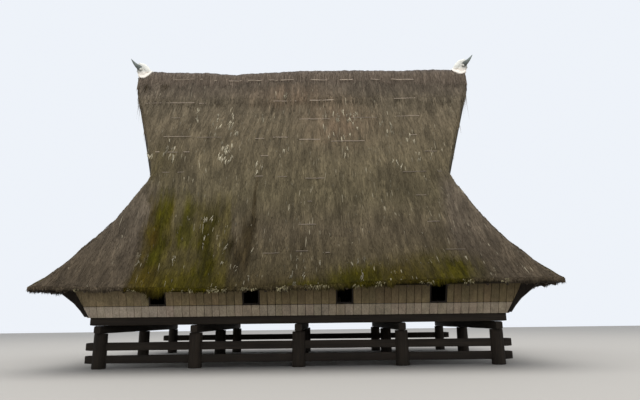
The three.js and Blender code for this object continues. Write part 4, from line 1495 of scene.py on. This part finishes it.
# %% Battens
# Dashes on the front: from, to and height
FRONT_DASHES = [
    (-5.85, -5.1, 12.14), (-5.03, -4.9, 12.14), (-4.62, -4.5, 12.14), (-3.96, -3.85, 12.14),
    (-3.3, -2.72, 12.14), (-2.44, -1.8, 12.14), (-1.5, -1.1, 12.14), (-0.95, -0.38, 12.14),
    (0.4, 1.15, 12.14), (1.7, 2.3, 12.14), (3.1, 3.5, 12.14), (-6.85, -4.7, 10.73),
    (-4.5, -4.15, 10.73), (-1.25, -0.23, 10.77), (0.35, 1.4, 10.81), (-5.52, -5.15, 9.87),
    (-0.1, 1.2, 9.74), (2.1, 3.2, 9.79), (-5.64, -4.5, 8.83), (-4.25, -3.25, 8.75),
    (-1.87, -1.5, 8.71), (-1.15, -0.55, 8.73), (-0.07, 0.78, 8.64), (1.22, 2.6, 8.5),
    (-5.8, -5.64, 8.03), (-5.3, -4.9, 8.03), (-4.67, -4.43, 8.02), (-1.57, -1.27, 7.74),
    (-5.28, -5.0, 6.98), (-4.7, -4.44, 6.98), (-1.69, -1.4, 6.76), (-0.85, -0.5, 6.75),
    (0.2, 0.92, 6.64), (0.3, 0.46, 5.6), (0.0, 0.6, 4.66), (-1.15, -0.6, 3.58),
    (-0.05, 0.35, 3.58), (0.9, 1.05, 3.58),
]
BATTEN_ROWS = (12.14, 10.82, 9.8, 8.8, 7.9, 6.9, 5.8, 4.66, 3.58)
BAMBOO = linear(158, 144, 128)
# Brightness of the bamboo at these heights: it is dirtier lower down
BAMBOO_BY_HEIGHT = ((4.6, 7.0, 8.8, 12.0), (0.65, 0.9, 1.15, 1.3))
# Share of a batten's length where the thatch under it lies lower than its bed
BEDDED = 0.77
# Where the top row lies round the cap, along the house: the row is level and the ridge isn't
CAP_BATTEN = ((-5.0, -2.2, 0.8), (-0.74, -0.795, -0.84))
CAP_ROW_FROM = 11.9
# Half width and half thickness of a pole, and how far its middle lies above the cap and above its bed
POLE_HALF = (0.014, 0.011)
CAP_SEAT = 0.07
BED_SEAT = 0.022


def dashes(name, quarters, spans, seed):
    """Thin flattened poles on the slope: spans (m, 3) hold where each starts and ends and its height."""
    rng = np.random.default_rng(seed)
    spans = np.asarray(spans, dtype=np.float64)
    share = np.linspace(0, 1, 14)
    x = spans[:, :1] + (spans[:, 1:2] - spans[:, :1]) * share
    z = spans[:, 2:] + 0.01 * soft_noise(x / 0.8, 0 * x, seed) + rng.normal(0, 0.015, (len(spans), 1))
    t = np.minimum(share_at(z), HIGHEST_SHARE)
    on_cap = z > CAP_ROW_FROM
    normal = face_normal("long", x, t)
    bed = np.quantile(relief("long", x, t, LONG_SEED), BEDDED, axis=1, keepdims=True)
    seat = np.where(on_cap, CAP_SEAT, bed + BED_SEAT) + 0.006 * soft_noise(x / 0.16, z, seed + 1)
    line = np.where(on_cap[..., None], cap_point(x, np.interp(x, *CAP_BATTEN)), roof_point("long", x, t))
    path = line + normal * seat[..., None]
    half = np.array(POLE_HALF) * rng.uniform(0.7, 1.15, (len(spans), 1, 1)) * np.ones((1, len(share), 1))
    form = sweep(path, half, (0.0, -0.42, 0.91), 8, 2.5)
    clean = np.interp(spans[:, 2], *BAMBOO_BY_HEIGHT)
    colours = BAMBOO * uneven(rng, 0.15, len(spans)) * clean[:, None]
    return tinted_piece(name, form, colours, lengthwise_wood, "bamboo", quarters=quarters)


def random_spans(seed, low, high):
    """Dashes with random lengths and gaps on every row, between two places along the house."""
    rng = np.random.default_rng(seed)
    spans = []
    for height in BATTEN_ROWS:
        x = low + rng.uniform(0, 1.5)
        while x < high:
            length = rng.uniform(0.12, 1.1)
            spans.append((x, min(x + length, high), height))
            x += length + rng.uniform(0.3, 2.6)
    return spans


dashes("front_battens", 0, FRONT_DASHES + random_spans(91, 3.6, 5.4), 92)
dashes("back_battens", 2, random_spans(93, -5.4, 5.4), 94)

# %% [markdown]
# ## Rafters
#
# Poles run up under the thatch. They show under the eaves and through the openings. Each follows
# the underside of its slope at one place along the house.

# %% Rafters
RAFTER_COUNTS = {"long": 26, "end": 17}
RAFTER_TIMBER = linear(66, 58, 50)
RAFTER_RADIUS = (0.035, 0.045)
# Where the rafters start and end up the slope, the outermost columns, and the drop below the thatch
RAFTER_FOOT = 0.035
RAFTER_REACH = 0.9
RAFTER_COLUMN = 0.96
RAFTER_DROP = 0.035


def rafters(name, side, quarters, count, seed):
    """Round poles just below the underside of a face."""
    rng = np.random.default_rng(seed)
    t = np.linspace(RAFTER_FOOT, RAFTER_REACH * GRIDS[side][0], 12)
    w = np.linspace(-RAFTER_COLUMN, RAFTER_COLUMN, count)[:, None] + 0 * t
    path = roof_point(side, place_along(side, w, t + 0 * w), t + 0 * w)
    path[..., 2] += underside_height(t) - roof_height(t) - RAFTER_DROP
    radius = rng.uniform(*RAFTER_RADIUS, (count, 1, 1)) * np.ones((1, len(t), 2))
    form = sweep(path, radius, (1.0, 0.0, 0.0), 8)
    colours = RAFTER_TIMBER * uneven(rng, 0.15, count)
    return tinted_piece(name, form, colours, log_wood, "timber", quarters=quarters)


for face, (side, quarters, seed) in FACES.items():
    rafters(f"{face}_rafters", side, quarters, RAFTER_COUNTS[side], seed + 500)

# %% [markdown]
# ## Woven gables
#
# Each gable is closed by a panel of woven bamboo that leans out under the verges. The panel is a
# triangle of points, wide at the foot and narrow at the peak. The weave is in its material: strips
# that run both ways and pass over and under one another. Battens of split bamboo hold it.

# %% Gables
gable_material, gable_tree, gable_shader = start_material("woven_bamboo", 0.8)
gable_position = object_place(gable_tree)
gable_xyz = add_node(gable_tree, "ShaderNodeSeparateXYZ", {"Vector": gable_position}).outputs
gable_plane = add_node(gable_tree, "ShaderNodeCombineXYZ", {"X": gable_xyz["Y"], "Y": gable_xyz["Z"]})
weave = add_node(
    gable_tree, "ShaderNodeTexBrick", {"Vector": gable_plane.outputs["Vector"]},
    offset=0.5, offset_frequency=2, scale=1.0, brick_width=0.14, row_height=0.035,
    mortar_size=0.004, mortar_smooth=0.6, color1=(*linear(128, 112, 84), 1),
    color2=(*linear(98, 86, 66), 1), mortar=(*linear(38, 32, 26), 1),
)
gable_dirt = [((1.5, 3.0, 1.2), 4.0, 0.0, 0.6, 1.15)]
dim_by_noise(gable_tree, gable_shader, weave.outputs["Color"], gable_position, gable_dirt)
weave_height = add_node(gable_tree, "ShaderNodeMath", {1: weave.outputs["Fac"]}, operation="SUBTRACT")
weave_height.inputs[0].default_value = 1.0
add_bump(gable_tree, gable_shader, weave_height.outputs["Value"], 0.8, 0.006)

GABLE_INSET = 0.25
# How far the panel's face lies behind the gable's plane, and the battens' middles before it
PANEL_SETBACK = 0.012
PANEL_THICKNESS = 0.03
BATTEN_PROUD = 0.02
BATTEN_HALF = 0.022
# Places along y of a gable's upright battens
UPRIGHTS = (-1.5, -0.75, 0.0, 0.75, 1.5)


def gable_plane_x(z):
    """How far out the gable's face lies at height z: the verge less its inset."""
    return NECK_X + (z - roof_height(NECK_T)) * VERGE_LEAN - GABLE_INSET


def gable_half(z):
    """Half width of the gable at height z: where the underside of the slopes comes in."""
    shares = np.linspace(0.3, 1, 200)
    return EAVE_Y * (1 - np.interp(z, underside_height(shares), shares)) + 0.05


def gable_panel(name, hand, node):
    """The woven panel, slightly bellied, as a closed shell."""
    low, high = box_corners(node)
    q, z = np.meshgrid(np.linspace(-1, 1, 30), np.linspace(low[2], high[2] - 0.05, 40))
    y = q * np.minimum(gable_half(z), high[1])
    belly = 0.02 * soft_noise(y / 0.8, z / 0.8, 97)
    outer = np.stack([hand * (gable_plane_x(z) - PANEL_SETBACK + belly), hand * y, z], axis=-1)
    inner = outer - np.array([hand * PANEL_THICKNESS, 0, 0])
    return place(put_mesh(name, *closed_shell(outer, inner)), gable_material, "bamboo", node)


def gable_battens(name, hand, node):
    """Level and upright poles on the face of a gable."""
    low, high = box_corners(node)
    share = np.linspace(0, 1, 10)
    paths = []
    for z in np.linspace(low[2] + 0.35, high[2] - 0.7, 6):
        paths.append((gable_half(z) * (2 * share - 1), z + 0 * share))
    for y in UPRIGHTS:
        top = np.interp(abs(y), [0.0, 2.3], [high[2] - 0.3, low[2] + 0.2])
        paths.append((y + 0 * share, low[2] + (top - low[2]) * share))
    lines = [np.stack([hand * (gable_plane_x(z) + BATTEN_PROUD), y, z], axis=-1) for y, z in paths]
    form = sweep(lines, (BATTEN_HALF, BATTEN_HALF), (1.0, 0.3, 0.1), 8)
    colours = BAMBOO * uneven(np.random.default_rng(98), 0.15, len(paths), -0.3)
    return tinted_piece(name, form, colours, log_wood, "bamboo")


for face, hand in (("left", -1), ("right", 1)):
    gable_panel(f"{face}_gable_weave", hand, f"{face}_gable")
    gable_battens(f"{face}_gable_battens", hand, f"{face}_gable")

# %% [markdown]
# ## Horned heads
#
# A white plastered head with dark horns stands at each end of the ridge. Neck, chest, skull and ears
# are swept along short paths with changing sizes, and a thick layer, the saddle, lies over the
# ridge under them. On the real head one coat of plaster covers all of them, so a voxel remesh fuses
# them into one skin, and a few rounds of smoothing soften the hollows. The face is greyed by painted
# shade, and the saddle's white is brighter partly by painted light. The horns are swept too, and stay
# a piece of their own.

# %% Heads
plaster, plaster_tree, plaster_shader = start_material("white_plaster", 0.85)
plaster_position = object_place(plaster_tree)
plaster_stain = [((5.0, 5.0, 2.0), 3.0, 2.2, 0.86, 1.02)]
dim_by_noise(plaster_tree, plaster_shader, tint_of(plaster_tree), plaster_position, plaster_stain)
plaster_rough = stretched_noise(plaster_tree, plaster_position, (14.0, 14.0, 14.0), 5.0)
add_bump(plaster_tree, plaster_shader, plaster_rough, 0.6, 0.02)

# The saddle is brighter than the head partly by painted light for its lower side, and the face is grey by
# painted shade
LIT_SADDLE_WHITE = linear(252, 243, 230)
HEAD_WHITE = linear(222, 220, 211)
SHADED_FACE_GREY = linear(160, 160, 154)
HORN_ROOT = linear(74, 76, 72)
HORN_TIP = linear(120, 126, 122)


def smooth_path(knots, stations):
    """A smooth path through a few knots: each step is a cubic that also looks at both neighbours."""
    knots = np.asarray(knots, dtype=np.float64)
    place_on = np.linspace(0, len(knots) - 1, stations)
    step = np.minimum(place_on.astype(int), len(knots) - 2)
    f = (place_on - step)[:, None]
    before = knots[np.maximum(step - 1, 0)]
    start = knots[step]
    end = knots[step + 1]
    after = knots[np.minimum(step + 2, len(knots) - 1)]
    return 0.5 * (2 * start + (end - before) * f + (2 * before - 5 * start + 4 * end - after) * f**2
                  + (3 * start - before - 3 * end + after) * f**3)


def swept_knots(knots, hand, stations, sides):
    """A tube through knots of (x, y, z, half width, half height), mirrored by hand."""
    knots = np.array(knots)
    line = smooth_path(knots, stations)
    path = line[:, :3] * np.array([hand, 1, 1])
    return sweep(path[None], line[None, :, 3:5], (0.0, 1.0, 0.0), sides)


# Knots of each form at the left end: x, y, z, half width across and half height
NECK = [
    (-6.93, 0, 12.5, 0.04, 0.04), (-7.0, 0, 12.56, 0.12, 0.1), (-7.1, 0, 12.66, 0.15, 0.15),
    (-7.23, 0, 12.8, 0.16, 0.17), (-7.34, 0, 12.94, 0.15, 0.14), (-7.41, 0, 13.03, 0.1, 0.06),
    (-7.43, 0, 13.06, 0.02, 0.02),
]
CHEST = [
    (-7.27, 0, 12.38, 0.05, 0.05), (-7.28, 0, 12.46, 0.14, 0.19), (-7.3, 0, 12.62, 0.15, 0.21),
    (-7.32, 0, 12.74, 0.14, 0.16), (-7.325, 0, 12.78, 0.03, 0.03),
]
SKULL = [
    (-7.42, 0, 13.09, 0.03, 0.03), (-7.435, 0, 13.05, 0.12, 0.08), (-7.455, 0, 12.95, 0.165, 0.145),
    (-7.465, 0, 12.84, 0.15, 0.15), (-7.485, 0, 12.73, 0.115, 0.12), (-7.5, 0, 12.65, 0.1, 0.1),
    (-7.515, 0, 12.59, 0.08, 0.075), (-7.52, 0, 12.565, 0.02, 0.02),
]
HORN = [
    (-7.36, 0.07, 12.79, 0.075, 0.12), (-7.41, 0.18, 12.76, 0.078, 0.125), (-7.49, 0.29, 12.79, 0.068, 0.1),
    (-7.59, 0.37, 12.88, 0.05, 0.066), (-7.68, 0.405, 12.99, 0.032, 0.036), (-7.76, 0.41, 13.1, 0.007, 0.007),
]
EAR = [
    (-7.3, 0.08, 12.76, 0.04, 0.035), (-7.33, 0.18, 12.72, 0.06, 0.03), (-7.36, 0.27, 12.66, 0.055, 0.022),
    (-7.375, 0.33, 12.61, 0.012, 0.012),
]
EYE_BEAD = [
    (-7.52, 0.1, 12.88, 0.03, 0.03), (-7.545, 0.125, 12.882, 0.028, 0.028),
    (-7.56, 0.14, 12.884, 0.008, 0.008),
]
NOSTRIL = [
    (-7.57, 0.045, 12.66, 0.018, 0.014), (-7.595, 0.047, 12.665, 0.018, 0.014),
    (-7.608, 0.048, 12.668, 0.006, 0.005),
]
SADDLE_AT = 7.2
SADDLE_HALF = 0.35
SADDLE_REACH = 0.15
SADDLE_THICKNESS = 0.05
SKIN_VOXEL = 0.012
SKIN_SMOOTHING = 6
SKIN_ROUGHNESS = 0.004
# The saddle's white ends at this height; the face's painted shade is past a distance out and above a height
SADDLE_TOP = 12.54
FACE_OUT = 7.42
FACE_FOOT = 12.6


def mirrored_y(knots):
    """The same knots on the other side."""
    return [(x, -y, z, wide, high) for x, y, z, wide, high in knots]


def saddle(hand):
    """A thick layer over the ridge's end, as a closed shell: its lower edges are half ellipses."""
    u, q = np.meshgrid(np.linspace(-0.98, 0.98, 31), np.linspace(-1, 1, 25))
    x = -hand * (SADDLE_AT - SADDLE_HALF * u)
    y = q * SADDLE_REACH * np.sqrt(1 - u**2)
    middle = cap_point(x, y / CAP_HALF_WIDTH)
    steepness = 2.4 * y / np.sqrt(y**2 + CAP_ROUND**2)
    outward = unit(np.stack([0 * y, steepness, 1 + 0 * y], axis=-1)) * SADDLE_THICKNESS
    points, (faces,) = closed_shell(middle + outward, middle - outward)
    return points, [faces if hand > 0 else faces[:, ::-1], np.zeros((0, 3), dtype=int)]


def fused(parts):
    """Points and quads of one skin round overlapping closed forms: a voxel remesh, then smoothing."""
    rough = put_mesh("rough_form", *join(parts))
    remesh = rough.modifiers.new("fuse", "REMESH")
    remesh.mode = "VOXEL"
    remesh.voxel_size = SKIN_VOXEL
    soften = rough.modifiers.new("soften", "SMOOTH")
    soften.iterations = SKIN_SMOOTHING
    depsgraph = bpy.context.evaluated_depsgraph_get()
    skin = bpy.data.meshes.new_from_object(rough.evaluated_get(depsgraph))
    points = np.empty(3 * len(skin.vertices))
    skin.vertices.foreach_get("co", points)
    corners = np.empty(len(skin.loops), dtype=np.int32)
    skin.loops.foreach_get("vertex_index", corners)
    form = rough.data
    bpy.data.objects.remove(rough)
    bpy.data.meshes.remove(form)
    bpy.data.meshes.remove(skin)
    return points.reshape(-1, 3), [corners.reshape(-1, 4)]


def head(face, hand):
    """Plastered head on its saddle, and its dark horns, eyes and nostrils, at one end of the ridge."""
    forms = [swept_knots(knots, hand, 30, 32) for knots in (NECK, CHEST, SKULL, EAR, mirrored_y(EAR))]
    points, faces = fused([saddle(hand), *forms])
    rough = soft_noise(points[:, 0] / 0.07, points[:, 2] / 0.07, 99)
    rough = rough + soft_noise(points[:, 1] / 0.05, points[:, 2] / 0.05, 98)
    points = points + SKIN_ROUGHNESS * rough[:, None]
    tints = mix(LIT_SADDLE_WHITE, HEAD_WHITE, (points[:, 2] - SADDLE_TOP) / 0.1)
    # Painted shade: the face is greyed where it looks out from the ridge
    worn = np.clip((np.abs(points[:, 0]) - FACE_OUT) / 0.16, 0, 1)
    worn = worn * np.clip((points[:, 2] - FACE_FOOT) / 0.06, 0, 1)
    tints = mix(tints, SHADED_FACE_GREY, worn)
    tinted_piece(f"{face}_head", (points, faces), tints, plaster, "whitewash", f"{face}_ridge_finial")
    dark = [knots for form in (HORN, EYE_BEAD, NOSTRIL) for knots in (form, mirrored_y(form))]
    form = join([swept_knots(knots, hand, 16, 20) for knots in dark])
    tints = mix(HORN_ROOT, HORN_TIP, (np.abs(form[0][:, 1]) - 0.18) / 0.2)
    tinted_piece(f"{face}_horns", form, tints, log_wood, "timber")


head("left", 1.0)
head("right", -1.0)

# %% [markdown]
# ## Light, floor and finish
#
# An overcast sky lights the real house evenly from above. A pale world and one large soft lamp do
# the same here, over a plain pale floor.

# %% Light and floor
FLOOR_HALF = 60.0
FLOOR_COLOUR = (0.4, 0.38, 0.35, 1)
SKY_COLOUR = (0.9, 0.94, 1.0, 1)
SKY_STRENGTH = 0.95
LAMP_PLACE = (0, -6, 34)
LAMP_SIZES = (60, 50)
LAMP_WATTS = 15000
LAMP_COLOUR = (1.0, 0.98, 0.95)

floor_points = FLOOR_HALF * np.array([(-1, -1, 0), (1, -1, 0), (1, 1, 0), (-1, 1, 0)])
floor = put_mesh("floor", floor_points, [np.array([[0, 1, 2, 3]])], smooth=False)
floor_material, _, floor_shader = start_material("pale_floor", 0.9)
floor_shader.inputs["Base Color"].default_value = FLOOR_COLOUR
floor.data.materials.append(floor_material)

world = bpy.data.worlds.new("overcast")
bpy.context.scene.world = world
world.use_nodes = True
world.node_tree.nodes["Background"].inputs["Color"].default_value = SKY_COLOUR
world.node_tree.nodes["Background"].inputs["Strength"].default_value = SKY_STRENGTH

lamp_data = bpy.data.lights.new("sky_panel", "AREA")
lamp_data.shape = "RECTANGLE"
lamp_data.size, lamp_data.size_y = LAMP_SIZES
lamp_data.energy = LAMP_WATTS
lamp_data.color = LAMP_COLOUR
lamp = bpy.data.objects.new("sky_panel", lamp_data)
lamp.matrix_world = Matrix.Translation(LAMP_PLACE)
bpy.context.scene.collection.objects.link(lamp)
bpy.context.scene.view_settings.view_transform = "Standard"
print("lights and floor are in place")
